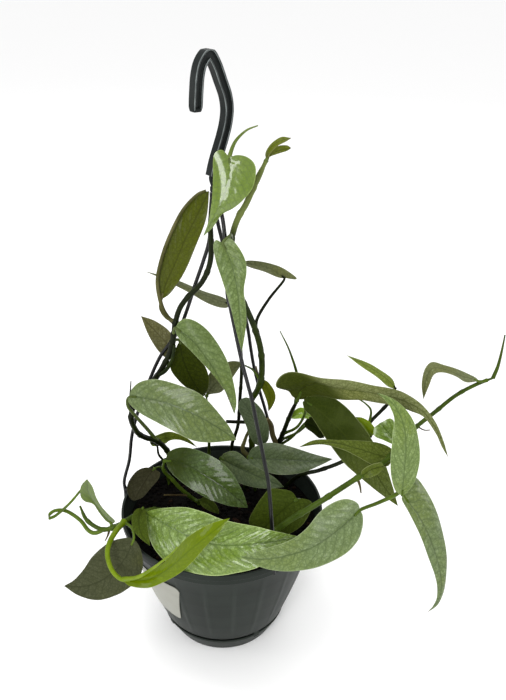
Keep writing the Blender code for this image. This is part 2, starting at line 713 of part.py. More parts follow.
LEAFY_STEMS = {
    "vine_left_climber": LeafyStem(
        route=(
            (178, 477), (168, 452, 48), (157, 441, 34), (147, 438, 24), (139, 434, 13), (134, 427, 6),
            (131, 418, 3), (133.5, 407, 3), (141, 396, 4), (150, 385, 6), (159, 373, 7), (168, 357, 6),
            (172, 345, 5), (174, 332, 4), (176, 320, 3.5), (180, 308, 3), (187, 298, 2), (195, 290, 1),
            (202, 282, 0), (208, 270, -1), (211, 256, -2.5), (211, 240, -4), (210.5, 224, -6),
            (213, 208, -9), (220, 190, -10), (226, 174, -9.5),
        ),
        radii=(2.9, 2.2),
        leaves={
            "top_heart": Leaf(
                rib=((229, 157, -11), (230, 173, -16), (225, 193, -19), (215, 215, -20), (203.5, 236, -16)),
                edges=(
                    ((222, 150), (215, 153), (213, 162), (213, 180), (212, 200), (209, 220)),
                    (
                        (238, 155), (247, 157), (254, 163), (256, 172), (253, 187), (243, 200),
                        (233, 208), (222, 214), (213, 227),
                    ),
                ),
                columns=2,
                petiole=((225, 178, -9.5), (227, 166, -9), (229, 158, -10.5)),
            ),
            "olive_underside": Leaf(
                rib=(
                    (161, 300, 9), (166, 284, 9), (174, 266, 9), (186, 238, 9), (199, 212, 10),
                    (209, 191, 12),
                ),
                edges=(
                    ((156.5, 285), (158.5, 267), (166, 241), (180, 212), (195, 195)),
                    ((172, 291), (187, 266), (198, 240), (207, 216)),
                ),
                rise=(0.5, 5),
                petiole=((175.5, 321, 4), (167, 318, 6), (161, 310, 8), (160.5, 303, 9)),
            ),
            "grey_brown_left": Leaf(
                rib=((177, 353, 20), (160, 336, 24), (141, 316, 26)),
                edges=(
                    ((174, 340), (168, 330), (155, 321)),
                    ((168, 358), (161, 354), (154, 345), (147, 332)),
                ),
                petiole=((172, 346, 6), (175, 351, 12), (177, 353, 19)),
            ),
            "sage_middle": Leaf(
                rib=(
                    (175, 328, -3), (191, 339, -9), (205, 356, -14), (217, 374, -18), (226, 393, -22),
                    (234.5, 414, -26),
                ),
                edges=(
                    (
                        (180, 321), (187, 318.5), (197, 322), (208, 331), (218, 344), (226, 358),
                        (231, 372), (235, 390), (236.5, 403),
                    ),
                    ((178, 337), (190, 350), (205, 366), (218, 381), (228, 396)),
                ),
                columns=2,
                petiole=((173.5, 334, 4), (174, 330, 0), (175.5, 328, -3)),
            ),
            "dark_underside": Leaf(
                rib=((180, 340, 11), (182, 355, 12), (189, 374, 12), (203, 397, 11)),
                edges=(
                    ((176, 348), (172, 360), (171, 370), (180, 382), (190, 390)),
                    ((188, 346), (198, 357), (206, 368), (209, 380), (207, 391)),
                ),
                petiole=((172.5, 343, 5), (175, 340, 8), (179, 340, 11)),
            ),
            "sage_large": Leaf(
                rib=(
                    (129.5, 396, -9), (150, 399, -16), (172, 405, -22), (195, 414.5, -27),
                    (217, 427, -30), (236.5, 440, -32),
                ),
                edges=(
                    (
                        (132, 389), (140, 382), (150, 379.5), (160, 380), (178, 385), (195, 391),
                        (206, 399), (217, 411), (229, 426),
                    ),
                    (
                        (129, 403), (140, 413), (158, 423), (177, 433), (193, 440.5), (208, 442.5),
                        (224, 441.5),
                    ),
                ),
                columns=2,
                petiole=(
                    (157, 441, 34), (149, 431, 23), (140, 421, 9), (133, 413, -3), (128, 406, -8),
                    (128.5, 398, -9),
                ),
                petiole_radius=2.1,
            ),
        },
        shoots={
            "top_spike": (
                ((229, 158, -10), (233, 146, -8), (238, 138, -7), (247, 130, -6), (258, 125.5, -6)),
                (1.9, 0.5),
            ),
            "node_spike": (((131, 416, 3), (130, 400, 2), (131, 381, 2)), (1.5, 0.5)),
            "node_sheath": (((157, 375, 7), (166, 370, 4), (172, 359, 2), (174.5, 345, 2)), (2.2, 1.2)),
        },
        colour=(0.06, 0.11, 0.03),
    ),
    "vine_right_climber": LeafyStem(
        route=(
            (246, 488), (251, 465, 42), (252, 445, 41), (251, 422, 39), (251, 402, 35), (257, 391, 31),
            (261, 380, 28), (262, 366, 25), (261, 352, 22), (258.5, 340, 20), (253.5, 325, 17),
            (247.5, 311, 15), (242, 299, 12), (238, 283, 9), (234, 264, 7), (231, 246, 5), (234, 229, 4),
            (239.5, 215, 4), (246, 204, 4), (256, 182, 4), (266, 161, 5),
        ),
        radii=(3.3, 2.5),
        leaves={
            "curled_top": Leaf(
                rib=((266.5, 160, 5), (269, 150, 3), (277, 142.5, 3), (291, 138, 3)),
                edges=(((265.5, 153), (271, 144), (281, 137.5)), ((271, 153), (278, 146), (285, 142))),
                rise=(-3, 4),
            ),
            "curled_prong": Leaf(
                rib=((267, 158, 6), (274, 152.5, 7), (282, 149.5, 8), (291, 148, 8)),
                edges=(((271, 150), (279, 146), (287, 145.5)), ((272, 155.5), (279, 153), (287, 150.5))),
                rise=(3, -3),
            ),
            "centre_hanging": Leaf(
                rib=((222.5, 243, -23), (231, 262, -28), (237, 288, -35), (240, 320, -43), (242, 352, -50)),
                edges=(
                    ((216, 240), (213.5, 247), (216, 262), (222, 280), (230, 305), (236, 330), (240, 345)),
                    ((230, 238.5), (238, 246), (245, 259), (246.5, 272), (244, 290), (246, 310), (246, 326)),
                ),
                petiole=(
                    (232, 240, 4), (231, 235, -8), (229.5, 236, -18), (226, 239, -22), (222.5, 243, -23),
                ),
            ),
            "edge_on_right": Leaf(
                rib=((284, 278, 20), (270, 269, 18), (255, 265, 14), (240, 263, 10)),
                edges=(
                    ((297, 279), (289, 271.5), (278, 265.5), (262, 261.5), (248, 260.5)),
                    ((280, 277.5), (267, 272.5), (253, 268.5)),
                ),
                rise=(-9, 8),
                petiole=((256, 331, 18), (257.5, 318, 19), (269, 299, 20), (284, 280, 20)),
            ),
            "small_olive": Leaf(
                rib=((262, 379, 28), (268, 389, 30), (270.5, 400, 31), (268.5, 411.5, 31)),
                edges=(
                    ((261, 386), (265, 396), (267.5, 404)),
                    ((268, 382), (274, 390), (275.5, 398), (272.5, 406)),
                ),
                rise=(-2, 4),
            ),
        },
        shoots={
            "dry_sheath": (((262, 386, 29), (258, 376, 31), (256, 366, 33)), (1.8, 0.6)),
            "cut_stub": (((251, 422, 39), (240, 422, 38), (226, 421.5, 37)), (1.9, 1.8)),
            "node_prong": (((258, 380, 29), (253, 370, 27), (245, 365.5, 25)), (1.6, 0.7)),
            "base_sheath": (((250, 460, 40), (243, 450, 36), (245, 440, 35), (249, 430, 36)), (3.2, 1.3)),
        },
        colour=(0.045, 0.09, 0.02),
    ),
    "vine_centre": LeafyStem(
        route=(
            (232, 470), (232, 445, 52), (238, 425, 47), (240, 397, 41), (241.5, 372, 37),
            (240.5, 345, 32), (238, 322, 28), (233, 305, 25),
        ),
        radii=(1.9, 1.6),
        leaves={
            "edge_on_left": Leaf(
                rib=((231, 305, 24), (215, 299, 23), (195, 291, 22), (171, 280, 20), (147, 272, 18)),
                edges=(
                    ((224, 299), (205, 291.5), (188, 284.5), (168, 277)),
                    ((224, 307.5), (205, 301), (188, 292), (168, 281.5)),
                ),
                rise=(-8, 8),
            ),
        },
        colour=(0.02, 0.03, 0.015),
    ),
    "leaf_grey_behind": LeafyStem(
        route=((209, 470), (209, 440, 50), (208, 420, 42), (207, 405, 34), (206.5, 396, 30)),
        radii=(1.7, 1.4),
        leaves={
            "grey_behind": Leaf(
                rib=((206.5, 395, 29), (215, 384, 28), (228, 373, 27), (242, 363, 26)),
                edges=(
                    ((205, 385), (212, 370), (227, 362), (236, 361)),
                    ((212, 394), (222, 391.5), (230, 381), (237, 371)),
                ),
            ),
        },
        colour=(0.08, 0.12, 0.06),
    ),
    "vine_right_crown": LeafyStem(
        route=((276, 483), (277, 462, 54), (279.5, 443, 52), (285, 428, 46), (291, 413, 38), (297, 401, 31)),
        radii=(2.8, 2.1),
        leaves={
            "long_arching": Leaf(
                rib=(
                    (297, 399, 31), (304, 388, 25), (320, 384.5, 14), (343, 389, 7), (372, 393, 0),
                    (400, 399.5, -7), (423, 411.5, -12), (439, 434, -16), (448, 457, -19),
                ),
                edges=(
                    (
                        (292, 396), (288, 391), (276, 386), (279, 377), (288, 372), (300, 372.5),
                        (320, 376.5), (343, 380), (370, 385), (390, 388.5), (406, 394), (421, 404),
                        (435, 422), (443, 440),
                    ),
                    (
                        (303, 399), (314, 395.5), (340, 399.5), (365, 401.5), (392, 404.5), (410, 410.5),
                        (424, 417), (436, 434), (442, 447),
                    ),
                ),
                rise=(8, -8),
            ),
            "broad_underside": Leaf(
                rib=(
                    (304, 399, 27), (322, 413, 23), (345, 435, 17), (368, 462, 10), (385, 488, 5),
                    (398, 506, 2),
                ),
                edges=(
                    ((304, 409), (311, 416), (320, 430), (333, 449), (346, 465), (368, 484), (386, 498)),
                    ((314, 393.5), (330, 396), (345, 406), (358, 420), (371, 438), (384, 462), (392, 484)),
                ),
                columns=2,
                petiole=((283, 434, 49), (297, 427, 42), (305, 413, 34), (304, 402, 28)),
            ),
            "small_dark": Leaf(
                rib=((304, 423, 46), (315, 427, 44), (324, 438, 42)),
                edges=(((309, 417), (318, 420), (324, 430)), ((306, 428), (313, 433), (319, 438))),
                petiole=((280, 446, 52), (292, 437, 50), (304, 424, 47)),
            ),
            "small_lime": Leaf(
                rib=((312, 417, 48), (302, 413, 49), (290, 418, 50)),
                edges=(((308, 410), (300, 407.5), (293, 412)), ((308, 418.5), (300, 418.5), (294, 419))),
                petiole=((283, 440, 52), (298, 432, 51), (310, 421, 49)),
            ),
        },
        shoots={
            "rolled_spike": (((297, 404, 32), (298, 380, 37), (290, 352, 39), (280, 331, 40)), (2.1, 0.5)),
            "withered_bit": (((277, 447, 54), (273, 436, 51), (271, 425, 50), (267, 419, 50)), (3.2, 2.4)),
        },
        colour=(0.06, 0.12, 0.02),
    ),
    "vine_behind_right": LeafyStem(
        route=(
            (286, 489), (300, 475, 30), (320, 470, 27), (345, 460, 27), (358, 446, 28), (369, 424, 28),
            (381, 411, 27), (391, 400, 26), (395, 389, 25),
        ),
        radii=(2.3, 1.7),
        leaves={
            "edge_on_tip": Leaf(
                rib=((396, 389, 25), (386, 378.5, 27), (368, 366.5, 29), (347, 355.5, 30)),
                edges=(((391, 377.5), (375, 366.5), (361, 360)), ((389, 386.5), (378, 378), (362, 367))),
                rise=(-6, 6),
            ),
            "lime_bit": Leaf(
                rib=((371, 437, 28), (366, 428, 26), (356, 417, 26)),
                edges=(((376, 431), (371, 423), (363, 418)), ((366, 435), (361, 428))),
            ),
        },
        shoots={
            "curled_tendril": (((369, 424, 28), (371, 411, 26), (366, 404, 24), (357, 398, 22)), (1.5, 0.6)),
        },
        colour=(0.03, 0.05, 0.015),
    ),
    "vine_long_right": LeafyStem(
        route=(
            (256, 548), (266, 538, -48), (275, 531, -52), (290, 520, -55), (310, 508, -55),
            (323, 500, -53), (340, 489, -48), (362, 475, -40), (380, 465, -30), (396, 452, -17),
            (406, 440, -6), (415, 428, 6), (435, 412, 18), (455, 396, 28), (475, 385, 38), (493, 378, 46),
        ),
        radii=(3.2, 1.8),
        leaves={
            "sage_front_right": Leaf(
                rib=(
                    (360, 510, -66), (346, 523, -80), (330, 536, -94), (311, 548, -108), (285, 556, -118),
                    (262, 559, -124), (241, 557, -127),
                ),
                edges=(
                    (
                        (358, 504), (352, 500), (343, 499.5), (330, 505), (318, 514), (306, 529),
                        (292, 539), (268, 547.5),
                    ),
                    (
                        (363, 517), (362, 530), (356, 543), (342, 556), (318, 567), (295, 571),
                        (275, 570.5), (258, 566),
                    ),
                ),
                columns=2,
                petiole=(
                    (393, 455, -19), (401, 478, -25), (399, 492, -29), (380, 502, -46), (361, 509.5, -65),
                ),
                petiole_radius=2.3,
            ),
            "long_hanging": Leaf(
                rib=(
                    (403, 495, -30), (420, 518, -34), (433, 546, -40), (440.5, 575, -46), (440, 597, -49),
                    (428, 612, -48),
                ),
                edges=(
                    ((402, 500), (409, 513), (418, 531), (428, 556), (436, 580), (437, 596), (433, 606)),
                    (
                        (410, 478), (418, 479), (430, 497), (440, 520), (445, 545), (446.5, 568),
                        (444, 588), (438, 604),
                    ),
                ),
                petiole=((401, 480, -26), (403, 494, -29)),
            ),
            "light_hanging": Leaf(
                rib=(
                    (402, 496, -31), (404, 472, -35), (406, 446, -34), (403, 423, -29), (393, 404, -24),
                    (377, 393, -20),
                ),
                edges=(
                    (
                        (395, 490), (391, 475), (390.5, 455), (392.5, 437), (394.5, 420), (390, 407),
                        (384, 399),
                    ),
                    (
                        (408, 491), (415, 481), (419.5, 463), (419.5, 445), (415.5, 426), (408, 412),
                        (398, 402), (387, 396),
                    ),
                ),
                petiole=((401, 480, -26), (402, 495, -30)),
            ),
            "curled_at_node": Leaf(
                rib=((361, 477, -41), (371, 469.5, -40), (384, 466, -36)),
                edges=(((362, 470), (372, 464.5), (381, 463)), ((367, 478), (376, 475), (382, 470))),
                rise=(5, 2),
            ),
            "arching_left": Leaf(
                rib=((392, 458, -20), (378, 455, -19), (355, 448, -16), (330, 442.5, -11), (299, 447, -5)),
                edges=(
                    ((392, 449), (380, 443), (360, 440.5), (338, 440), (315, 440)),
                    ((388, 466), (375, 466), (358, 457), (342, 449.5), (322, 444.5)),
                ),
                rise=(-4, 6),
            ),
            "glossy_bit": Leaf(
                rib=((398, 445, -12), (390, 434, -8), (380, 423, -6)),
                edges=(
                    ((392, 444), (383, 440), (375, 436), (375, 428)),
                    ((399, 436), (396, 425), (390, 418.5)),
                ),
                rise=(4, 4),
            ),
            "far_right": Leaf(
                rib=(
                    (479, 381, 38), (461, 376, 33), (445, 369.5, 29), (432, 369, 27), (426, 381, 26),
                    (423.5, 399, 25),
                ),
                edges=(
                    ((474, 376.5), (460, 370), (445, 365), (432.5, 361.5), (425, 369), (422, 385)),
                    ((466, 382.5), (456, 376.5), (445, 373), (435, 374.5), (429.5, 384)),
                ),
                rise=(-6, 7),
                petiole=((487, 381, 43), (480, 381.5, 39)),
            ),
        },
        shoots={
            "node_spur": (((358, 479, -43), (360, 486, -43), (361, 493, -43)), (1.5, 0.6)),
            "rolled_tip": (((493, 379, 46), (498, 366, 47), (502, 350, 48), (505, 335, 49)), (2.1, 0.7)),
            "air_root": (((418, 428, 7), (424, 430, 8), (430, 430, 8)), (0.8, 0.5)),
        },
        colour=(0.07, 0.14, 0.02),
    ),
    "vine_left_trailing": LeafyStem(
        route=(
            (164, 513), (154, 510, -6), (144, 512, -22), (134, 516, -34), (124, 522, -42),
            (114, 527, -46), (105, 529.5, -46), (96, 527, -44), (86, 519, -40), (80, 506, -36),
        ),
        radii=(3.2, 1.8),
        leaves={
            "bright_front": Leaf(
                rib=(
                    (147, 512, -32), (160, 521, -46), (183, 533.5, -68), (212, 544, -88), (245, 545, -98),
                    (275, 541, -98), (300, 537, -92),
                ),
                edges=(
                    ((152, 510), (165, 508), (187, 507.5), (205, 512.5), (220, 519), (247, 525), (272, 530)),
                    (
                        (146, 518), (147.5, 532), (152, 545), (161, 557), (172, 566), (185, 571.5),
                        (215, 575.5), (240, 572), (260, 566), (282, 552),
                    ),
                ),
                columns=2,
                petiole=((155, 510, -6), (150, 510, -20), (147, 512, -31)),
                petiole_radius=2.1,
            ),
            "dark_beside": Leaf(
                rib=((143, 508, -26), (139, 520, -46), (141, 533, -64), (150, 546, -77)),
                edges=(
                    ((136, 509.5), (132, 518), (133, 529), (140, 538)),
                    ((146, 512), (147, 524), (149, 537)),
                ),
            ),
            "lime_glossy": Leaf(
                rib=(
                    (122, 579, -94), (146, 580, -104), (168, 569, -114), (190, 550, -124),
                    (210, 534, -127), (230, 518, -124),
                ),
                edges=(
                    ((130, 577.5), (146, 573), (162, 564), (175, 551), (187, 538), (200, 529), (214, 522.5)),
                    ((130, 586), (148, 588), (165, 581.5), (180, 573), (192, 562), (206, 546), (219, 532)),
                ),
                rise=(-2, 3),
                petiole=(
                    (124, 522, -42), (116, 531, -58), (109, 544, -76), (107.5, 556, -85), (112, 570, -90),
                    (121, 579, -94),
                ),
                petiole_radius=2.8,
            ),
            "lower_left_underside": Leaf(
                rib=((134, 539, -67), (124, 560, -75), (107, 577, -77), (86, 586, -77), (64, 586, -75)),
                edges=(
                    ((127, 537.5), (115, 540), (104, 546), (92, 557), (83, 570), (74, 580)),
                    (
                        (139, 546), (142, 557), (142.5, 568), (138, 579), (130, 587), (117, 595),
                        (98, 600), (78, 595),
                    ),
                ),
                columns=2,
                petiole=((124, 522, -42), (132, 528, -54), (134, 538, -66)),
            ),
            "far_left": Leaf(
                rib=((112, 524, -44), (103, 514, -41), (95, 503, -38), (88.5, 492, -36), (87, 479, -34)),
                edges=(
                    ((106, 521), (99, 512.5), (93, 504), (85, 501.5), (80.5, 496), (81, 486)),
                    ((115, 521), (108, 514), (101, 506), (96, 497), (92.5, 487)),
                ),
            ),
        },
        shoots={
            "lime_sheath": (
                ((123, 579, -94), (138, 577, -106), (156, 566, -117), (172, 553, -127), (177, 547, -130)),
                (2.2, 0.6),
            ),
            "leaf_tail": (((110, 528, -45), (108, 535, -46), (105, 541, -47)), (1.5, 0.5)),
            "loop_shoot": ((
                (104, 530, -46), (95, 533, -44), (88, 530, -40), (80, 520, -36), (66, 511, -30),
                (54, 511, -27), (47, 518, -26), (55, 516, -29), (69, 504, -33), (81, 490, -36),
            ), (2.2, 1.1)),
        },
        colour=(0.1, 0.2, 0.02),
    ),
    "leaf_glossy_front": LeafyStem(
        route=((199, 504), (192, 498, 24), (180, 488, 20), (171, 478, 14), (163.5, 470, 10), (164, 461, 9)),
        radii=(2.1, 1.8),
        leaves={
            "glossy_front": Leaf(
                rib=((166, 460, 8), (185, 464, -1), (205, 475, -11), (228, 491, -21), (248, 508, -28)),
                edges=(
                    ((168, 453), (176, 448.5), (188, 448), (205, 453), (221, 462), (234, 476), (243, 492)),
                    ((168, 468), (176, 477), (190, 488), (207, 498), (228, 505.5)),
                ),
                columns=2,
            ),
            "dim_low": Leaf(
                rib=((199, 500, 18), (208, 504, 8), (219, 514, -4)),
                edges=(((205, 497), (213, 501), (218, 508)), ((202, 506), (210, 511))),
            ),
        },
        shoots={
            "dead_stick": (((189, 495, 23), (178, 495, 15), (164, 495, 8)), (1.4, 0.7)),
        },
        colour=(0.06, 0.13, 0.03),
    ),
    "leaf_olive_left": LeafyStem(
        route=((169, 484), (166, 472, 46), (160, 467, 40), (155, 468, 34)),
        radii=(1.6, 1.3),
        leaves={
            "olive_left": Leaf(
                rib=((154, 469, 33), (146, 480, 24), (140, 490, 16), (134, 501, 8)),
                edges=(
                    ((146, 467.5), (137, 471), (129, 481), (127, 490), (130, 498)),
                    ((160, 473), (158, 480), (151, 488), (143, 497)),
                ),
            ),
        },
        colour=(0.07, 0.09, 0.03),
    ),
    "leaf_narrow_back": LeafyStem(
        route=((175, 485), (168, 466, 52), (159, 455, 52), (157, 446, 53), (151, 443, 54)),
        radii=(1.4, 1.2),
        leaves={
            "narrow_dark": Leaf(
                rib=((150, 443, 54), (163, 438.5, 55), (178, 437, 56), (197, 447, 57)),
                edges=(
                    ((151, 439), (158, 435), (171, 431.5), (187, 438)),
                    ((153, 446), (163, 444.5), (171, 440), (182, 440.5)),
                ),
                rise=(6, -5),
            ),
        },
        colour=(0.05, 0.09, 0.02),
    ),
    "leaf_blue_upright": LeafyStem(
        route=((262, 482), (262, 466, 30), (261, 452, 26), (261, 446, 24)),
        radii=(1.8, 1.5),
        leaves={
            "blue_upright": Leaf(
                rib=((261, 446, 24), (258, 430, 21), (251, 414, 20), (241, 399, 20)),
                edges=(
                    ((254, 443), (249, 434), (246, 425), (241, 415), (238, 406)),
                    ((268, 440), (268.5, 426), (263, 411), (255, 402), (247, 397.5)),
                ),
            ),
        },
        colour=(0.06, 0.1, 0.06),
    ),
    "leaf_grey_upper": LeafyStem(
        route=((255, 490), (257, 474, 36), (256, 462, 31), (252, 455, 21), (248, 457, 12)),
        radii=(1.8, 1.5),
        leaves={
            "grey_upper": Leaf(
                rib=((248, 458, 10), (268, 459, 4), (290, 460, -1), (314, 461, -5), (333, 459, -8)),
                edges=(
                    ((250, 451), (257, 445.5), (270, 442.5), (290, 446), (315, 454.5)),
                    ((250, 463), (260, 469), (278, 474.5), (300, 473), (320, 465.5)),
                ),
            ),
        },
        colour=(0.08, 0.12, 0.07),
    ),
    "leaf_grey_lower": LeafyStem(
        route=((223, 489), (221, 476, 38), (219, 464, 35), (220, 458, 33)),
        radii=(1.7, 1.4),
        leaves={
            "grey_lower": Leaf(
                rib=((220, 458, 32), (243, 470, 24), (264, 479, 18), (284, 487, 13)),
                edges=(
                    ((225, 453), (236, 452), (250, 462), (262, 470), (275, 478)),
                    ((222, 467), (234, 480), (250, 486.5), (268, 488.5)),
                ),
            ),
        },
        colour=(0.08, 0.12, 0.07),
    ),
    "leaf_folded_olive": LeafyStem(
        route=((306, 512), (303, 505, -12), (300, 500, -24), (297, 499, -32)),
        radii=(1.8, 1.5),
        leaves={
            "folded_olive": Leaf(
                rib=((297, 499, -33), (283, 510, -36), (268, 524, -40), (256, 535, -43)),
                edges=(
                    ((292, 492), (283, 489.5), (270, 489), (262, 497), (254, 509), (249, 522)),
                    ((304, 499), (312, 503), (310, 513), (301, 526), (285, 535), (268, 540)),
                ),
                rise=(-6, -6),
            ),
        },
        colour=(0.08, 0.14, 0.03),
    ),
}


def main():
    for old in list(bpy.data.objects):
        bpy.data.objects.remove(old)
    collection = bpy.data.collections.new(COLLECTION_NAME)
    cutters = bpy.data.collections.new("cutters")
    cutters.hide_render = True
    for made in (collection, cutters):
        bpy.context.scene.collection.children.link(made)
    build_pot(collection, cutters)
    build_saucer(collection)
    build_label(collection)
    build_soil(collection, [(root_place(stem), stem.radii[0] * MM) for stem in LEAFY_STEMS.values()])
    hook, hub = build_hook(collection)
    finish = material("strand_plastic", (0.012, 0.012, 0.012), 0.3)
    for name, (angle, tail_length, picks) in STRANDS.items():
        build_strand(name, angle, tail_length, picks, hub, collection, finish)
    for name, stem in LEAFY_STEMS.items():
        build_stem(name, stem, collection)


if __name__ == "__main__":
    main()
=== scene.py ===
"""Looks of a potted cebu blue pothos: its pot, soil, hanger and leafy stems, dressed round the solid model.

Lengths are in metres, apart from those in the tables of strands and leaves, which are in millimetres. Both
are placed by sight lines, as in the solid model: a point is named by its pixel in the 506 by 700 picture and
by its depth along +Y.
"""

import logging
import math
import random
from dataclasses import dataclass, field
from enum import Enum
from typing import Callable, Iterable, Optional, Sequence, Union

import bpy
import numpy as np
from mathutils import Matrix, Vector, noise


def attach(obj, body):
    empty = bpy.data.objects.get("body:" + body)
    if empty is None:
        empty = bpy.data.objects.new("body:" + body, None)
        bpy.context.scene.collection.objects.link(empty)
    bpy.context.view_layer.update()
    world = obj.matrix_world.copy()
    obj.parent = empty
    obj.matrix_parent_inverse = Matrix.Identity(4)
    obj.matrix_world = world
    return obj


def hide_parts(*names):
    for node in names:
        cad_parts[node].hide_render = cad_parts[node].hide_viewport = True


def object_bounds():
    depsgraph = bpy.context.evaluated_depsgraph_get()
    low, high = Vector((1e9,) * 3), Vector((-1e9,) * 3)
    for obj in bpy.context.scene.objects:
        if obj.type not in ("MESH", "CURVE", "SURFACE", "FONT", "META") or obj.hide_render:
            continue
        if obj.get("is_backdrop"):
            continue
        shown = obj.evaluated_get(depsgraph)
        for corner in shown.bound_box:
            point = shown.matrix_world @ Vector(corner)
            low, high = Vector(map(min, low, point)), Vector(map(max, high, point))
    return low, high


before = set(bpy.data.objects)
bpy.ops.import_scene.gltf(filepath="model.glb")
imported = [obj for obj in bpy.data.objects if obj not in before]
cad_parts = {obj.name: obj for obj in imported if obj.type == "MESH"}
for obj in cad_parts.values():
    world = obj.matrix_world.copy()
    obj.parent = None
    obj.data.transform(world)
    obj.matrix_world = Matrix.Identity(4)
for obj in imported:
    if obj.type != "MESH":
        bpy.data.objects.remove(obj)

log = logging.getLogger("pothos")

MM = 0.001
SEAT = 0.3 * MM
ROOT_BODY = "root"

# Merging distance for doubled corners
DOUBLES = 0.01 * MM
# Side veins on one half of a blade start this share of a gap after those on the other
VEIN_STAGGER = 0.45

Colour = tuple[float, float, float]
Pick = tuple[float, ...]
Pair = tuple[float, float]
Shape = bpy.types.Object
Material = bpy.types.Material


def srgb(red: int, green: int, blue: int) -> Colour:
    """Linear colour of an 8-bit display colour."""
    return tuple(((v / 255 + 0.055) / 1.055) ** 2.4 if v > 10 else v / 3295 for v in (red, green, blue))


def scaled(colour: Colour, *shares: float) -> Colour:
    """Colour with its channels multiplied by one share, or by one each."""
    return tuple(channel * share for channel, share in zip(colour, shares * (3 if len(shares) == 1 else 1)))


class Tone(Enum):
    """Kinds of leaf surface on this plant; undersides and shaded blades carry painted shade besides their own
    colour.
    """

    ARCHING = "arching"
    SAGE = "sage"
    PALE_SAGE = "pale_sage"
    BLUE = "blue"
    FRESH = "fresh"
    BRIGHT = "bright"
    LIME = "lime"
    GLOSSY = "glossy"
    # Olive blades darker than their own colour: painted shade for blades deep in the plant's shadow
    DARK = "dark"
    GREY_BACK = "grey_back"
    BROWN_BACK = "brown_back"
    GREEN_BACK = "green_back"
    OLIVE_BACK = "olive_back"
    BROAD_BACK = "broad_back"
    SHADE_BACK = "shade_back"


class StemTone(Enum):
    """Kinds of stem, stalk and sheath surface."""

    # Near black: green stems painted dark, painted shade where they lie in shadow
    DARK = "dark"
    GREEN = "green"
    FRESH = "fresh"
    LIME = "lime"
    SAGE = "sage"
    DRY = "dry"
    BARK = "bark"
    PALE = "pale"
    CLIMBER = "climber"


class Value:
    """A shader socket in Python arithmetic: each operator adds the Math node that it stands for."""

    def __init__(self, graph: "Graph", socket: bpy.types.NodeSocket) -> None:
        """Wraps an output socket of the graph."""
        self.graph = graph
        self.socket = socket

    def math(self, operation: str, *others: "Operand") -> "Value":
        """Result of a Math node.

        Args:
            operation: The node's operation.
            others: Its further operands.

        Returns:
            The node's output.
        """
        inputs = dict(enumerate((self, *others)))
        return self.graph.node("ShaderNodeMath", {"operation": operation}, inputs)

    def __add__(self, other: "Operand") -> "Value":
        """Sum."""
        return self.math("ADD", other)

    def __sub__(self, other: "Operand") -> "Value":
        """Difference."""
        return self.math("SUBTRACT", other)

    def __rsub__(self, other: float) -> "Value":
        """A number less this value."""
        return (self * -1.0) + other

    def __mul__(self, other: "Operand") -> "Value":
        """Product."""
        return self.math("MULTIPLY", other)

    def __abs__(self) -> "Value":
        """Size without its sign."""
        return self.math("ABSOLUTE")

    def fraction(self) -> "Value":
        """Part after the point."""
        return self.math("FRACT")

    def above(self, limit: float) -> "Value":
        """1 where the value is over the limit, or else 0."""
        return self.math("GREATER_THAN", limit)

    def capped(self) -> "Value":
        """Value held between 0 and 1."""
        return self.math("MINIMUM", 1.0).math("MAXIMUM", 0.0)

    def ramp(self, low: float, high: float) -> "Value":
        """Smooth step.

        Args:
            low: Where it starts from 0.
            high: Where it reaches 1.

        Returns:
            The share between 0 and 1.
        """
        settings = {"interpolation_type": "SMOOTHSTEP"}
        return self.graph.node("ShaderNodeMapRange", settings, {0: self, 1: low, 2: high, 3: 0.0, 4: 1.0})


Operand = Union[Value, float]
Feed = Union[Value, float, tuple]
Paint = Union[Value, Colour]


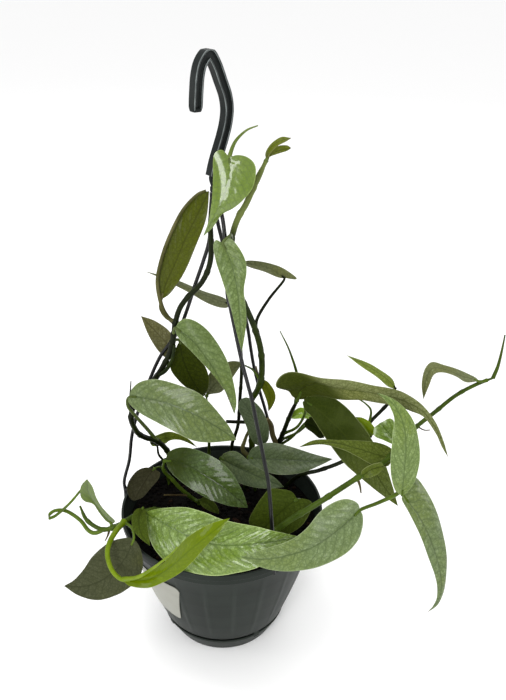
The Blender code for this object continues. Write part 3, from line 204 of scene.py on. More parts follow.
class Graph:
    """Node tree of one material, with its Principled shader."""

    def __init__(self, name: str) -> None:
        """Makes the material.

        Args:
            name: The material's name.
        """
        self.material = bpy.data.materials.new(name)
        self.material.use_nodes = True
        self.tree = self.material.node_tree
        self.shader = self.tree.nodes["Principled BSDF"]

    def node(self, kind: str, settings: dict, inputs: dict, output: Union[int, str] = 0) -> Value:
        """Adds a node.

        Args:
            kind: Its type.
            settings: Its properties, set before its sockets.
            inputs: Values or links of its sockets, by name or number.
            output: Which output to give back.

        Returns:
            That output.
        """
        made = self.tree.nodes.new(kind)
        for key, setting in settings.items():
            setattr(made, key, setting)
        for key, value in inputs.items():
            self.feed(made.inputs[key], value)
        return Value(self, made.outputs[output])

    def feed(self, socket: bpy.types.NodeSocket, value: Feed) -> None:
        """Links a value to a socket, or sets it there.

        Args:
            socket: The input.
            value: A graph value, a number or a colour.
        """
        if isinstance(value, Value):
            self.tree.links.new(value.socket, socket)
        elif isinstance(value, tuple) and socket.type == "RGBA":
            socket.default_value = (*value[:3], 1.0)
        else:
            socket.default_value = value

    def set(self, **inputs: Feed) -> None:
        """Feeds the shader's sockets; an underscore in a name stands for a blank."""
        for key, value in inputs.items():
            self.feed(self.shader.inputs[key.replace("_", " ")], value)

    def place(self) -> Value:
        """Object coordinates."""
        return self.node("ShaderNodeTexCoord", {}, {}, "Object")

    def attribute(self, name: str, output: str = "Vector") -> Value:
        """Attribute of the mesh."""
        return self.node("ShaderNodeAttribute", {"attribute_name": name}, {}, output)

    def split(self, vector: Value) -> tuple[Value, Value, Value]:
        """The three parts of a vector."""
        parts = self.node("ShaderNodeSeparateXYZ", {}, {0: vector}).socket.node
        return tuple(Value(self, parts.outputs[axis]) for axis in range(3))

    def joined(self, x: Operand, y: Operand, z: Operand) -> Value:
        """Vector of three values."""
        return self.node("ShaderNodeCombineXYZ", {}, {0: x, 1: y, 2: z})

    def noise(self, where: Value, scale: float, detail: float = 2.0, roughness: float = 0.5) -> Value:
        """Noise around 0.5.

        Args:
            where: Its coordinates.
            scale: Patches for each unit of length.
            detail: Octaves.
            roughness: Weight of the finer octaves.

        Returns:
            The noise's value.
        """
        inputs = {"Vector": where, "Scale": scale, "Detail": detail, "Roughness": roughness}
        return self.node("ShaderNodeTexNoise", {}, inputs)

    def cells(self, where: Value, scale: float) -> Value:
        """Distance to the nearest edge in a pattern of cells."""
        settings = {"feature": "DISTANCE_TO_EDGE"}
        return self.node("ShaderNodeTexVoronoi", settings, {"Vector": where, "Scale": scale})

    def shaken(self, where: Value, scale: float, reach: float) -> Value:
        """Coordinates shifted a little by noise, so that a pattern on them isn't regular.

        Args:
            where: The coordinates.
            scale: Scale of the noise.
            reach: Farthest shift.

        Returns:
            The shifted coordinates.
        """
        shift = self.node("ShaderNodeTexNoise", {}, {"Vector": where, "Scale": scale, "Detail": 1.0}, "Color")
        centred = self.vector_math("SUBTRACT", shift, (0.5, 0.5, 0.5))
        return self.vector_math("ADD", where, self.sized(centred, 2 * reach))

    def vector_math(self, operation: str, first: Value, second: Feed) -> Value:
        """Result of a Vector Math node."""
        return self.node("ShaderNodeVectorMath", {"operation": operation}, {0: first, 1: second})

    def sized(self, vector: Value, factor: Operand) -> Value:
        """Vector or colour multiplied by a number."""
        return self.node("ShaderNodeVectorMath", {"operation": "SCALE"}, {0: vector, "Scale": factor})

    def mix(self, share: Operand, a: Paint, b: Paint) -> Value:
        """Colour between a and b.

        Args:
            share: 0 gives a, and 1 gives b.
            a: First colour.
            b: Second colour.

        Returns:
            The mixed colour.
        """
        return self.node("ShaderNodeMix", {"data_type": "RGBA"}, {0: share, 6: a, 7: b}, 2)

    def bump(self, height: Value, distance: float, strength: float) -> None:
        """Feeds the shader's normal with a relief.

        Args:
            height: Height between 0 and 1.
            distance: What 1 stands for, in metres.
            strength: Share of the effect.
        """
        inputs = {"Height": height, "Distance": distance, "Strength": strength}
        self.set(Normal=self.node("ShaderNodeBump", {}, inputs))


@dataclass(frozen=True)
class LeafFinish:
    """Surface of a blade, read from the two attributes that each blade carries.

    leaf_map holds the place across from -1 to 1, the phase of the side veins, and the distance from the rib
    in mm. leaf_tint holds the place along from 0 to 1, the leaf's own lot from 0 to 1 and its brightness,
    which is partly its own tone and partly painted light and shade.
    """

    other_side: Tone
    body: Colour
    light: Colour
    vein: Colour
    margin: Colour
    slot: str = "leaf_olive"
    # Darker colour towards the stalk end: painted shade where the base of the blade lies in shadow
    base: Optional[Colour] = None
    shaded_base_span: Pair = (0.1, 0.7)
    roughness: float = 0.4
    specular: float = 0.14
    coat: float = 0.08
    coat_roughness: float = 0.2
    light_share: float = 0.65
    # Share of painted shade in the troughs between the quilted lobes
    trough_shade_share: float = 0.2
    net_share: float = 0.5
    vein_share: float = 0.5
    rib_share: float = 0.7
    relief: float = 0.5
    pucker: float = 1.0
    shake_scale: float = 160.0
    wander_scale: float = 110.0
    net_scale: float = 300.0
    fleck_scale: float = 260.0
    patch_scale: float = 46.0
    broad_scale: float = 20.0

    def dress(self, name: str) -> Material:
        """Makes the material.

        Args:
            name: The material's name.

        Returns:
            The material.
        """
        graph = Graph(name)
        spot = graph.place()
        across, phase, reach = graph.split(graph.attribute("leaf_map"))
        along, lot, gain = graph.split(graph.attribute("leaf_tint"))
        place = graph.shaken(spot, self.shake_scale, 0.8 * MM)
        stagger = across.above(0.0) * VEIN_STAGGER
        wander = graph.noise(spot, self.wander_scale, 3.0, 0.65)
        lateral = abs((phase + stagger + wander * 0.9).fraction() - 0.5) * 2.0
        inward = 1.0 - abs(across)
        from_margin = inward.ramp(0.0, 0.3)
        side_vein = lateral.ramp(0.84, 1.0) * from_margin
        rib = 1.0 - abs(reach).ramp(0.2, 1.1)
        cell_edge = graph.cells(place, self.net_scale)
        net = 1.0 - cell_edge.ramp(0.0, 0.16)
        streak = graph.noise(graph.joined(phase * 1.3, across * 3.0, lot * 9.0), 1.7, 3.0, 0.6)
        fleck = graph.noise(place, self.fleck_scale, 3.0, 0.6)
        trough_shade = lateral.ramp(0.35, 1.0) * from_margin
        patch = graph.noise(spot, self.patch_scale, 3.0, 0.6)
        broad = graph.noise(spot, self.broad_scale, 2.0)
        pale = (streak * 0.5 + fleck * 0.5).ramp(0.45, 0.68) * (1.0 - side_vein)
        pale = (pale * (patch.ramp(0.3, 0.65) * 0.7 + 0.3) * self.light_share).capped()
        warm = scaled(self.body, 0.95, 0.92, 0.35)
        colour = graph.mix(broad.ramp(0.42, 0.66) * 0.6, self.body, warm)
        colour = graph.mix(pale, colour, self.light)
        # Painted shade: the troughs along the side veins, between the quilted lobes, are darkened
        colour = graph.mix((trough_shade * self.trough_shade_share).capped(), colour, scaled(self.body, 0.45))
        # Painted shade at the base of the blade, fading out along it
        if self.base:
            colour = graph.mix((1.0 - along.ramp(*self.shaded_base_span)) * 0.92, colour, self.base)
        for mask, share in ((net, self.net_share), (side_vein, self.vein_share), (rib, self.rib_share)):
            colour = graph.mix((mask * share).capped(), colour, self.vein)
        colour = graph.mix(abs(across).ramp(0.955, 0.995) * 0.75, colour, self.margin)
        shade = ((1.0 - lot) * patch.ramp(0.35, 0.75) * 0.35).capped()
        # Brightness scaled per blade: partly its own tone and partly painted light and shade
        colour = graph.sized(graph.mix(shade, colour, scaled(self.body, 0.72)), gain)
        roughness = (patch * 0.14 + (self.roughness - 0.07) + net * 0.08).capped()
        graph.set(Base_Color=colour, Roughness=roughness, Specular_IOR_Level=self.specular)
        coat = (along.ramp(*self.shaded_base_span) * 0.85 + 0.15) * self.coat if self.base else self.coat
        graph.set(Coat_Weight=coat, Coat_Roughness=self.coat_roughness)
        puff = cell_edge.ramp(0.0, 0.45)
        height = puff * 0.6 + (1.0 - side_vein) * 0.25 + (1.0 - rib) * 0.15
        graph.bump(height, 0.5 * MM, self.relief)
        return graph.material


# What the undersides and shaded blades share. The undersides' colours are partly their own and partly
# painted shade for the little light that reaches them from below
BACK_LOOK = {"coat": 0.0, "specular": 0.05, "light_share": 0.6, "trough_shade_share": 0.12}

LEAF_FINISHES = {
    Tone.SAGE: LeafFinish(
        Tone.GREY_BACK, srgb(92, 108, 66), srgb(136, 152, 112), srgb(58, 74, 36), srgb(132, 144, 108),
        slot="leaf_sage", roughness=0.38, coat=0.3, coat_roughness=0.14,
    ),
    Tone.PALE_SAGE: LeafFinish(
        Tone.GREY_BACK, srgb(94, 112, 60), srgb(138, 156, 104), srgb(62, 80, 34), srgb(140, 154, 110),
        slot="leaf_sage", roughness=0.4, coat=0.12,
    ),
    Tone.BLUE: LeafFinish(
        Tone.GREY_BACK, srgb(66, 78, 51), srgb(94, 106, 79), srgb(42, 54, 30), srgb(100, 110, 82),
        slot="leaf_sage", roughness=0.42, coat=0.1, light_share=0.5,
    ),
    Tone.FRESH: LeafFinish(
        Tone.GREEN_BACK, srgb(94, 117, 30), srgb(126, 148, 70), srgb(68, 90, 14), srgb(140, 158, 88),
        slot="leaf_bright", roughness=0.26, coat=1.0, coat_roughness=0.1, relief=0.16, trough_shade_share=0.1,
        pucker=0.25,
    ),
    Tone.BRIGHT: LeafFinish(
        Tone.GREEN_BACK, srgb(98, 121, 46), srgb(168, 190, 128), srgb(64, 88, 20), srgb(158, 176, 112),
        slot="leaf_bright", roughness=0.32, coat=0.6, coat_roughness=0.1, relief=0.9, light_share=0.8,
        trough_shade_share=0.35, vein_share=0.45, pucker=1.5,
    ),
    Tone.LIME: LeafFinish(
        Tone.LIME, srgb(94, 114, 3), srgb(116, 136, 14), srgb(76, 96, 2), srgb(146, 160, 56),
        slot="leaf_bright", roughness=0.3, specular=0.03, coat=0.16, coat_roughness=0.08, relief=0.2,
        net_share=0.12, vein_share=0.2, trough_shade_share=0.06, pucker=0.5,
    ),
    # Its base colour is painted shade at the stalk end
    Tone.GLOSSY: LeafFinish(
        Tone.GREY_BACK, srgb(66, 84, 42), srgb(104, 126, 84), srgb(34, 46, 14), srgb(100, 116, 80),
        slot="leaf_sage", base=srgb(36, 44, 2), shaded_base_span=(0.16, 0.46), roughness=0.3, specular=0.05,
        coat=0.32, coat_roughness=0.09, relief=0.6, trough_shade_share=0.3,
    ),
    # Painted shade: dark olive for blades deep in the plant's shadow
    Tone.DARK: LeafFinish(
        Tone.SHADE_BACK, srgb(52, 64, 16), srgb(74, 88, 34), srgb(34, 44, 8), srgb(84, 94, 46),
        roughness=0.46, specular=0.02, coat=0.0, light_share=0.6, trough_shade_share=0.12,
    ),
    Tone.GREY_BACK: LeafFinish(
        Tone.SAGE, srgb(94, 99, 68), srgb(122, 127, 96), srgb(68, 73, 44), srgb(116, 120, 92),
        slot="leaf_sage", roughness=0.5, **BACK_LOOK,
    ),
    Tone.BROWN_BACK: LeafFinish(
        Tone.SAGE, srgb(86, 85, 56), srgb(112, 111, 84), srgb(62, 60, 34), srgb(108, 106, 78),
        roughness=0.5, **BACK_LOOK,
    ),
    Tone.GREEN_BACK: LeafFinish(
        Tone.PALE_SAGE, srgb(78, 90, 30), srgb(104, 114, 60), srgb(50, 60, 14), srgb(118, 126, 80),
        roughness=0.44, coat=0.05, specular=0.05, light_share=0.6, trough_shade_share=0.12,
    ),
    # Its base colour is painted shade at the stalk end
    Tone.ARCHING: LeafFinish(
        Tone.SHADE_BACK, srgb(112, 118, 76), srgb(138, 148, 96), srgb(66, 74, 24), srgb(130, 136, 92),
        base=srgb(40, 50, 2), shaded_base_span=(0.22, 0.34), roughness=0.5, specular=0.02, coat=0.0,
        trough_shade_share=0.12,
    ),
    Tone.OLIVE_BACK: LeafFinish(
        Tone.FRESH, srgb(76, 85, 10), srgb(94, 98, 44), srgb(56, 61, 8), srgb(96, 92, 56),
        roughness=0.38, specular=0.05, coat=0.12, light_share=0.6, vein_share=0.2, trough_shade_share=0.08,
    ),
    # Its base colour is painted shade at the stalk end
    Tone.BROAD_BACK: LeafFinish(
        Tone.PALE_SAGE, srgb(84, 96, 44), srgb(106, 114, 74), srgb(50, 60, 14), srgb(110, 118, 74),
        base=srgb(32, 43, 1), shaded_base_span=(0.3, 0.8), roughness=0.46, specular=0.05, coat=0.0, trough_shade_share=0.12,
    ),
    Tone.SHADE_BACK: LeafFinish(
        Tone.PALE_SAGE, srgb(50, 61, 2), srgb(72, 82, 20), srgb(30, 38, 2), srgb(84, 92, 44),
        roughness=0.46, **BACK_LOOK,
    ),
}


@dataclass(frozen=True)
class StemFinish:
    """Surface of stems and stalks: two greens in long patches, with small pale flecks."""

    body: Colour
    other: Colour
    fleck: Colour
    young: Optional[Colour] = None
    young_span: Pair = (0.425, 0.45)
    roughness: float = 0.38
    coat: float = 0.06

    def dress(self, name: str) -> Material:
        """Makes the material.

        Args:
            name: The material's name.

        Returns:
            The material.
        """
        graph = Graph(name)
        place = graph.place()
        broad = graph.noise(place, 55.0, 2.0)
        fine = graph.noise(place, 900.0, 2.0)
        colour = graph.mix(broad.ramp(0.35, 0.65), self.body, self.other)
        if self.young:
            colour = graph.mix(graph.split(place)[2].ramp(*self.young_span), colour, self.young)
        colour = graph.mix(fine.ramp(0.6, 0.75) * 0.4, colour, self.fleck)
        graph.set(Base_Color=colour, Roughness=(fine * 0.2 + (self.roughness - 0.1)).capped())
        graph.set(Coat_Weight=self.coat, Coat_Roughness=0.25, Specular_IOR_Level=0.06)
        graph.bump(fine, 0.2 * MM, 0.3)
        return graph.material


STEM_FINISHES = {
    # Painted shade: near-black greens for stems that lie in shadow
    StemTone.DARK: StemFinish(body=srgb(10, 14, 2), other=srgb(20, 27, 5), fleck=srgb(40, 48, 18)),
    StemTone.CLIMBER: StemFinish(
        body=srgb(18, 28, 3), other=srgb(36, 48, 6), fleck=srgb(58, 68, 24), young=srgb(96, 106, 54),
    ),
    StemTone.GREEN: StemFinish(body=srgb(46, 62, 10), other=srgb(62, 80, 20), fleck=srgb(98, 112, 54)),
    StemTone.FRESH: StemFinish(body=srgb(62, 80, 14), other=srgb(78, 98, 28), fleck=srgb(116, 132, 68)),
    StemTone.PALE: StemFinish(body=srgb(90, 104, 48), other=srgb(74, 90, 32), fleck=srgb(124, 134, 84)),
    StemTone.LIME: StemFinish(body=srgb(88, 108, 8), other=srgb(104, 124, 20), fleck=srgb(136, 150, 60)),
    StemTone.SAGE: StemFinish(body=srgb(74, 86, 44), other=srgb(58, 70, 28), fleck=srgb(112, 122, 84)),
    StemTone.DRY: StemFinish(
        body=srgb(88, 80, 50), other=srgb(58, 48, 28), fleck=srgb(122, 112, 80), roughness=0.7, coat=0.0,
    ),
    StemTone.BARK: StemFinish(
        body=srgb(82, 80, 48), other=srgb(62, 62, 32), fleck=srgb(104, 100, 68), roughness=0.6, coat=0.0,
    ),
}


@dataclass(frozen=True)
class PlasticFinish:
    """Moulded plastic with scuffs, a fine grain, and lighter parts where the mesh says so: rubbed plastic,
    and painted highlights along ridges and edges.
    """

    body: Colour
    scuff_and_highlight: Colour
    roughness: float
    wear_and_highlight: Optional[str] = None
    wear_and_highlight_share: float = 0.5
    cloud_share: float = 0.25
    grain: float = 0.25
    coat: float = 0.0

    def dress(self, name: str) -> Material:
        """Makes the material.

        Args:
            name: The material's name.

        Returns:
            The material.
        """
        graph = Graph(name)
        place = graph.place()
        cloud = graph.noise(place, 14.0, 4.0, 0.6)
        grain = graph.noise(place, 1400.0, 2.0)
        marks = graph.noise(graph.shaken(place, 60.0, 8 * MM), 220.0, 3.0, 0.7)
        colour = graph.mix(cloud.ramp(0.35, 0.75) * self.cloud_share, self.body, self.scuff_and_highlight)
        colour = graph.mix(marks.ramp(0.66, 0.8) * 0.3, colour, self.scuff_and_highlight)
        # Lighter where the mesh marks it: painted highlights on the pot's ribs and the hook's edges, and
        # rubbed plastic
        if self.wear_and_highlight:
            share = graph.attribute(self.wear_and_highlight, "Fac") * self.wear_and_highlight_share
            colour = graph.mix(share.capped(), colour, self.scuff_and_highlight)
        graph.set(Base_Color=colour, Roughness=(cloud * 0.16 + (self.roughness - 0.08)).capped())
        graph.set(Coat_Weight=self.coat, Coat_Roughness=0.2, Specular_IOR_Level=0.09)
        graph.bump(grain, 0.1 * MM, self.grain)
        return graph.material


@dataclass(frozen=True)
class SoilFinish:
    """Moist peat: near black, with brown and reddish fibres."""

    dark: Colour = srgb(5, 4, 3)
    brown: Colour = srgb(22, 17, 11)
    red: Colour = srgb(40, 23, 15)

    def dress(self, name: str) -> Material:
        """Makes the material.

        Args:
            name: The material's name.

        Returns:
            The material.
        """
        graph = Graph(name)
        place = graph.shaken(graph.place(), 300.0, 2 * MM)
        clod = graph.noise(place, 180.0, 4.0, 0.7)
        speck = graph.noise(place, 520.0, 2.0, 0.6)
        lot = graph.attribute("lot", "Fac")
        colour = graph.mix(clod.ramp(0.5, 0.78), self.dark, self.brown)
        colour = graph.mix((speck.ramp(0.66, 0.74) * 0.5).capped(), colour, self.red)
        colour = graph.mix(lot.ramp(0.62, 0.95) * 0.7, colour, self.brown)
        colour = graph.mix(lot.ramp(0.93, 0.99) * 0.8, colour, self.red)
        graph.set(Base_Color=colour, Roughness=(clod * 0.3 + 0.6).capped())
        graph.set(Specular_IOR_Level=0.05)
        graph.bump(clod, 1.5 * MM, 0.8)
        return graph.material


@dataclass(frozen=True)
class PaperFinish:
    """Coated white sticker, a little soiled at its rim."""

    white: Colour = srgb(140, 140, 131)
    soiled: Colour = srgb(122, 122, 113)

    def dress(self, name: str) -> Material:
        """Makes the material.

        Args:
            name: The material's name.

        Returns:
            The material.
        """
        graph = Graph(name)
        place = graph.place()
        cloud = graph.noise(place, 70.0, 3.0, 0.6)
        fibre = graph.noise(place, 1800.0, 2.0)
        rim = graph.attribute("rim", "Fac")
        colour = graph.mix((cloud.ramp(0.45, 0.8) * 0.4 + rim * 0.5).capped(), self.white, self.soiled)
        graph.set(Base_Color=colour, Roughness=(fibre * 0.1 + 0.38).capped())
        graph.set(Specular_IOR_Level=0.2)
        graph.bump(fibre, 0.04 * MM, 0.3)
        return graph.material


@dataclass(frozen=True)
class Viewpoint:
    """Where the picture was taken from, and the sight lines through its pixels."""

    place: Vector = field(default_factory=lambda: Vector((31 * MM, -662 * MM, 701 * MM)))
    pitch: float = math.radians(29.7)
    focal: float = 850.0
    middle: Pair = (253.0, 350.0)
    width: float = 506.0

    def line(self, px: float, py: float) -> Vector:
        """Direction through a pixel.

        Args:
            px: The pixel's column.
            py: Its row.

        Returns:
            The direction, whose part along the view is 1.
        """
        forward = Vector((0, math.cos(self.pitch), -math.sin(self.pitch)))
        up = Vector((0, math.sin(self.pitch), math.cos(self.pitch)))
        across = (px - self.middle[0]) / self.focal
        rise = (self.middle[1] - py) / self.focal
        return forward + up * rise + Vector((across, 0, 0))

    def seen(self, px: float, py: float, depth_mm: float) -> Vector:
        """Point behind a pixel at a depth along +Y."""
        line = self.line(px, py)
        return self.place + line * ((depth_mm * MM - self.place.y) / line.y)

    def on_level(self, px: float, py: float, level: float) -> Vector:
        """Point behind a pixel at a height."""
        line = self.line(px, py)
        return self.place + line * ((level - self.place.z) / line.z)

    def on_upright(self, px: float, py: float, turn: float) -> Vector:
        """Point behind a pixel on an upright plane through the axis.

        Args:
            px: The pixel's column.
            py: Its row.
            turn: How far the plane is turned.

        Returns:
            The point.
        """
        normal = Vector((math.sin(turn), -math.cos(turn), 0))
        line = self.line(px, py)
        return self.place - line * (self.place.dot(normal) / line.dot(normal))

    def points(self, picks: Iterable[Pick]) -> list[Vector]:
        """Points behind picks of (px, py, depth in mm)."""
        return [self.seen(*pick) for pick in picks]


VIEW = Viewpoint()


def curve_through(points: Sequence[Vector], count: int, spans: int = 24) -> list[Vector]:
    """Smooth curve through points.

    Args:
        points: What it passes through.
        count: How many even steps it has.
        spans: Steps worked out between two of the points.

    Returns:
        count + 1 points, evenly spaced by length.
    """
    points = [Vector(point) for point in points]
    ends = [points[0] * 2 - points[1]] + points + [points[-1] * 2 - points[-2]]
    fine = []
    for a, b, c, d in zip(ends, ends[1:], ends[2:], ends[3:]):
        for step in range(spans):
            t = step / spans
            square = (2 * a - 5 * b + 4 * c - d) * t**2
            cube = (3 * b - a - 3 * c + d) * t**3
            fine.append(0.5 * (2 * b + (c - a) * t + square + cube))
    fine.append(points[-1])
    places = np.array(fine)
    steps = np.linalg.norm(np.diff(places, axis=0), axis=1)
    lengths = np.concatenate([[0.0], np.cumsum(steps)])
    wanted = np.linspace(0, lengths[-1], count + 1)
    columns = [np.interp(wanted, lengths, places[:, axis]) for axis in range(3)]
    return [Vector(row) for row in np.stack(columns, axis=1)]


def length_of(points: Sequence[Vector]) -> float:
    """Length of a polyline."""
    return sum((b - a).length for a, b in zip(points, points[1:]))


def nearest_on(route: Sequence[Vector], point: Vector) -> Vector:
    """Finds where a polyline is nearest to a point.

    Args:
        route: The polyline.
        point: The point.

    Returns:
        The nearest place on it.
    """
    best = route[0]
    for a, b in zip(route, route[1:]):
        step = b - a
        share = min(max((point - a).dot(step) / step.length_squared, 0.0), 1.0)
        place = a + step * share
        if (place - point).length < (best - point).length:
            best = place
    return best


class Bench:
    """Modelling steps that all pieces share, each done with Blender's own operators."""

    def __init__(self) -> None:
        """Keeps the box of the solid model, which no piece leaves."""
        self.low, self.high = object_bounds()

    @staticmethod
    def clear() -> None:
        """Leaves edit mode and deselects everything."""
        if bpy.context.mode != "OBJECT":
            bpy.ops.object.mode_set(mode="OBJECT")
        bpy.ops.object.select_all(action="DESELECT")

    def pick(self, obj: Shape) -> Shape:
        """Makes an object the only selected one and the active one.

        Args:
            obj: The object.

        Returns:
            The same object.
        """
        self.clear()
        obj.select_set(True)
        bpy.context.view_layer.objects.active = obj
        return obj

    @staticmethod
    def edit(operator: Callable, **settings: Union[float, int, bool, tuple]) -> None:
        """Runs an edit-mode operator on all of the active mesh.

        Args:
            operator: The operator.
            settings: Its settings.
        """
        bpy.ops.object.mode_set(mode="EDIT")
        bpy.ops.mesh.select_all(action="SELECT")
        operator(**settings)
        bpy.ops.object.mode_set(mode="OBJECT")

    def close(self) -> None:
        """Merges the active mesh's doubled corners and turns its faces out."""
        self.edit(bpy.ops.mesh.remove_doubles, threshold=DOUBLES)
        self.edit(bpy.ops.mesh.normals_make_consistent, inside=False)

    @staticmethod
    def smooth(degrees: float) -> None:
        """Shades the selected meshes smooth, apart from edges sharper than an angle."""
        bpy.ops.object.shade_smooth_by_angle(angle=math.radians(degrees))

    @staticmethod
    def read(mesh: bpy.types.Mesh, key: str = "co") -> np.ndarray:
        """Places or normals of a mesh's points.

        Args:
            mesh: The mesh.
            key: What is read of each point.

        Returns:
            One row for each point.
        """
        rows = np.empty(len(mesh.vertices) * 3, np.float32)
        mesh.vertices.foreach_get(key, rows)
        return rows.reshape(-1, 3)

    @staticmethod
    def write(mesh: bpy.types.Mesh, rows: np.ndarray) -> None:
        """Moves a mesh's points to new places."""
        mesh.vertices.foreach_set("co", rows.astype(np.float32).ravel())
        mesh.update()

    @staticmethod
    def mark(obj: Shape, key: str, values: Sequence) -> None:
        """Stores a number or a vector for each point as an attribute.

        Args:
            obj: The object.
            key: The attribute's name.
            values: One entry for each point.
        """
        rows = np.asarray(values, np.float32)
        kind, part = ("FLOAT_VECTOR", "vector") if rows.ndim == 2 else ("FLOAT", "value")
        layer = obj.data.attributes.new(key, kind, "POINT")
        layer.data.foreach_set(part, rows.ravel())

    @staticmethod
    def named(name: str) -> Shape:
        """Names the object that an operator has just added, and its mesh.

        Args:
            name: The name.

        Returns:
            The object.
        """
        made = bpy.context.view_layer.objects.active
        made.name = name
        made.data.name = name
        return made

    def placed(self, name: str, data: bpy.types.ID) -> Shape:
        """Object of a mesh or curve, selected and active.

        Args:
            name: Its name.
            data: The mesh or curve.

        Returns:
            The object.
        """
        made = bpy.data.objects.new(name, data)
        bpy.context.scene.collection.objects.link(made)
        return self.pick(made)

    def add_mesh(self, name: str, points: Sequence, edges: Sequence, faces: Sequence = ()) -> Shape:
        """Object from its points, edges and faces.

        Args:
            name: Its name.
            points: Its points.
            edges: Pairs of points.
            faces: Rings of points.

        Returns:
            The object, selected and active.
        """
        mesh = bpy.data.meshes.new(name)
        mesh.from_pydata([tuple(point) for point in points], list(edges), list(faces))
        return self.placed(name, mesh)

    def turned(self, name: str, profile: Sequence[Pair], steps: int) -> Shape:
        """Spins a profile round the upright axis.

        Args:
            name: The object's name.
            profile: (radius, height) pairs.
            steps: Sides of the turned shape.

        Returns:
            The closed shape, its faces pointing out.
        """
        points = [(radius, 0.0, height) for radius, height in profile]
        made = self.add_mesh(name, points, [(i, i + 1) for i in range(len(points) - 1)])
        self.edit(bpy.ops.mesh.spin, steps=steps, angle=2 * math.pi, center=(0, 0, 0), axis=(0, 0, 1))
        self.close()
        return made

    def tube(self, name: str, points: Sequence[Vector], radii: Sequence[float], sides: int) -> Shape:
        """Tube along points.

        Args:
            name: The object's name.
            points: Its middle line.
            radii: Its radius at each point.
            sides: Sides of its section.

        Returns:
            The tube as a closed mesh.
        """
        curve = bpy.data.curves.new(name, "CURVE")
        curve.dimensions = "3D"
        curve.bevel_depth = 1.0
        curve.bevel_resolution = max(0, (sides - 4) // 2)
        curve.use_fill_caps = True
        spline = curve.splines.new("POLY")
        spline.points.add(len(points) - 1)
        for target, point, radius in zip(spline.points, points, radii):
            target.co = (*point, 1.0)
            target.radius = radius
        self.placed(name, curve)
        bpy.ops.object.convert(target="MESH")
        self.close()
        self.smooth(50)
        return bpy.context.view_layer.objects.active

    def apply(self, obj: Shape, kind: str, **settings: Union[float, int, str, bool]) -> None:
        """Adds a modifier with its settings and applies it.

        Args:
            obj: The object.
            kind: The modifier's type.
            settings: Its properties.
        """
        self.pick(obj)
        made = obj.modifiers.new(kind.lower(), kind)
        for key, value in settings.items():
            setattr(made, key, value)
        bpy.ops.object.modifier_apply(modifier=made.name)

    def block(self, name: str, size: Vector, place: Matrix, rounding: float) -> Shape:
        """Block with rounded edges.

        Args:
            name: The object's name.
            size: Its three sides.
            place: Where its middle lies and how it is turned.
            rounding: Radius of its edges.

        Returns:
            The block.
        """
        self.clear()
        bpy.ops.mesh.primitive_cube_add(size=1.0)
        made = self.named(name)
        made.data.transform(Matrix.Diagonal((*size, 1.0)))
        self.edit(bpy.ops.mesh.bevel, offset=rounding, segments=3, affect="EDGES")
        made.data.transform(place)
        self.smooth(50)
        return made

    def join(self, name: str, pieces: Sequence[Shape]) -> Shape:
        """Joins pieces in one object that keeps all their materials.

        Args:
            name: The whole's name.
            pieces: The pieces.

        Returns:
            The whole.
        """
        self.pick(pieces[0])
        for piece in pieces[1:]:
            piece.select_set(True)
        bpy.ops.object.join()
        return self.named(name)

    def finish(
        self, obj: Shape, slot: str, nodes: Sequence[str] = (), materials: Sequence = ()
    ) -> Shape:
        """Holds a piece in the solid model's box, dresses it and ties it to the model.

        Args:
            obj: The piece.
            slot: Name of a material slot; not used.
            nodes: Nodes of the solid model that it stands for.
            materials: Its materials, if it has none yet.

        Returns:
            The piece.
        """
        mesh = obj.data
        self.write(mesh, np.clip(self.read(mesh), np.array(self.low), np.array(self.high)))
        for finish in materials:
            mesh.materials.append(finish)
        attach(obj, ROOT_BODY)
        if nodes:
            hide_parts(*nodes)
        mesh.calc_loop_triangles()
        log.info("%s: %d triangles", obj.name, len(mesh.loop_triangles))
        return obj


def filleted(corners: Sequence[Pair], radius: float, steps: int = 4) -> list[Pair]:
    """Profile with round corners.

    Args:
        corners: (radius, height) pairs.
        radius: Radius of the rounding, less where a side is short.
        steps: Points along each rounding.

    Returns:
        The profile's points.
    """
    points = [Vector((r, h)) for r, h in corners]
    made = [points[0]]
    for before, corner, after in zip(points, points[1:], points[2:]):
        back = before - corner
        ahead = after - corner
        cut = min(radius, back.length * 0.45, ahead.length * 0.45)
        start = corner + back.normalized() * cut
        end = corner + ahead.normalized() * cut
        for step in range(steps + 1):
            t = step / steps
            made.append(start.lerp(corner, t).lerp(corner.lerp(end, t), t))
    made.append(points[-1])
    return [(max(0.0, point.x), point.y) for point in made]


HOOK_LINE = (
    (195.5, 111.5), (196.2, 93), (197.5, 75), (201, 61.5), (208, 53.5), (214.6, 64), (220.6, 81),
    (225.2, 95), (227, 109), (225.6, 123), (222.6, 136), (218.8, 149), (214.8, 163), (212, 176),
)
NECK_BOTTOM = (211.5, 190)

# For each strand: the angle of its clip on the rim, the length of its tail below the rim in mm, and its
# route between the hub and the rim
STRANDS = {
    "hanger_strand_left": (167, 33, (
        (210.5, 215, 2), (209.3, 240, 3), (203, 262, 5), (195, 285, 7), (188, 307, 9), (180, 328, 10.5),
        (170, 343, 12), (160, 357, 13.5), (150, 379, 15), (138, 412, 18), (133.5, 428, 19),
        (131.3, 440, 20), (129.3, 460, 22),
    )),
    "hanger_strand_front": (-60.5, 7, (
        (219.5, 207, -6), (223, 221, -10), (225.5, 245, -15), (226.5, 270, -20), (227.5, 295, -25),
        (230.2, 307, -28), (234, 325, -32), (241, 358, -40), (248, 385, -48), (252, 400, -52),
        (256, 420, -57), (260, 440, -62), (264, 460, -67), (268, 480, -73), (270, 500, -79),
        (271.5, 520, -85),
    )),
    "hanger_strand_back": (54.5, 12, (
        (216, 213, 6), (222, 240, 13), (229, 266, 20), (237, 292, 28), (246.5, 322, 38), (251, 350, 48),
        (254, 367, 53), (260, 392, 62), (263, 402, 66), (267, 416, 71), (272, 434, 78),
    )),
}


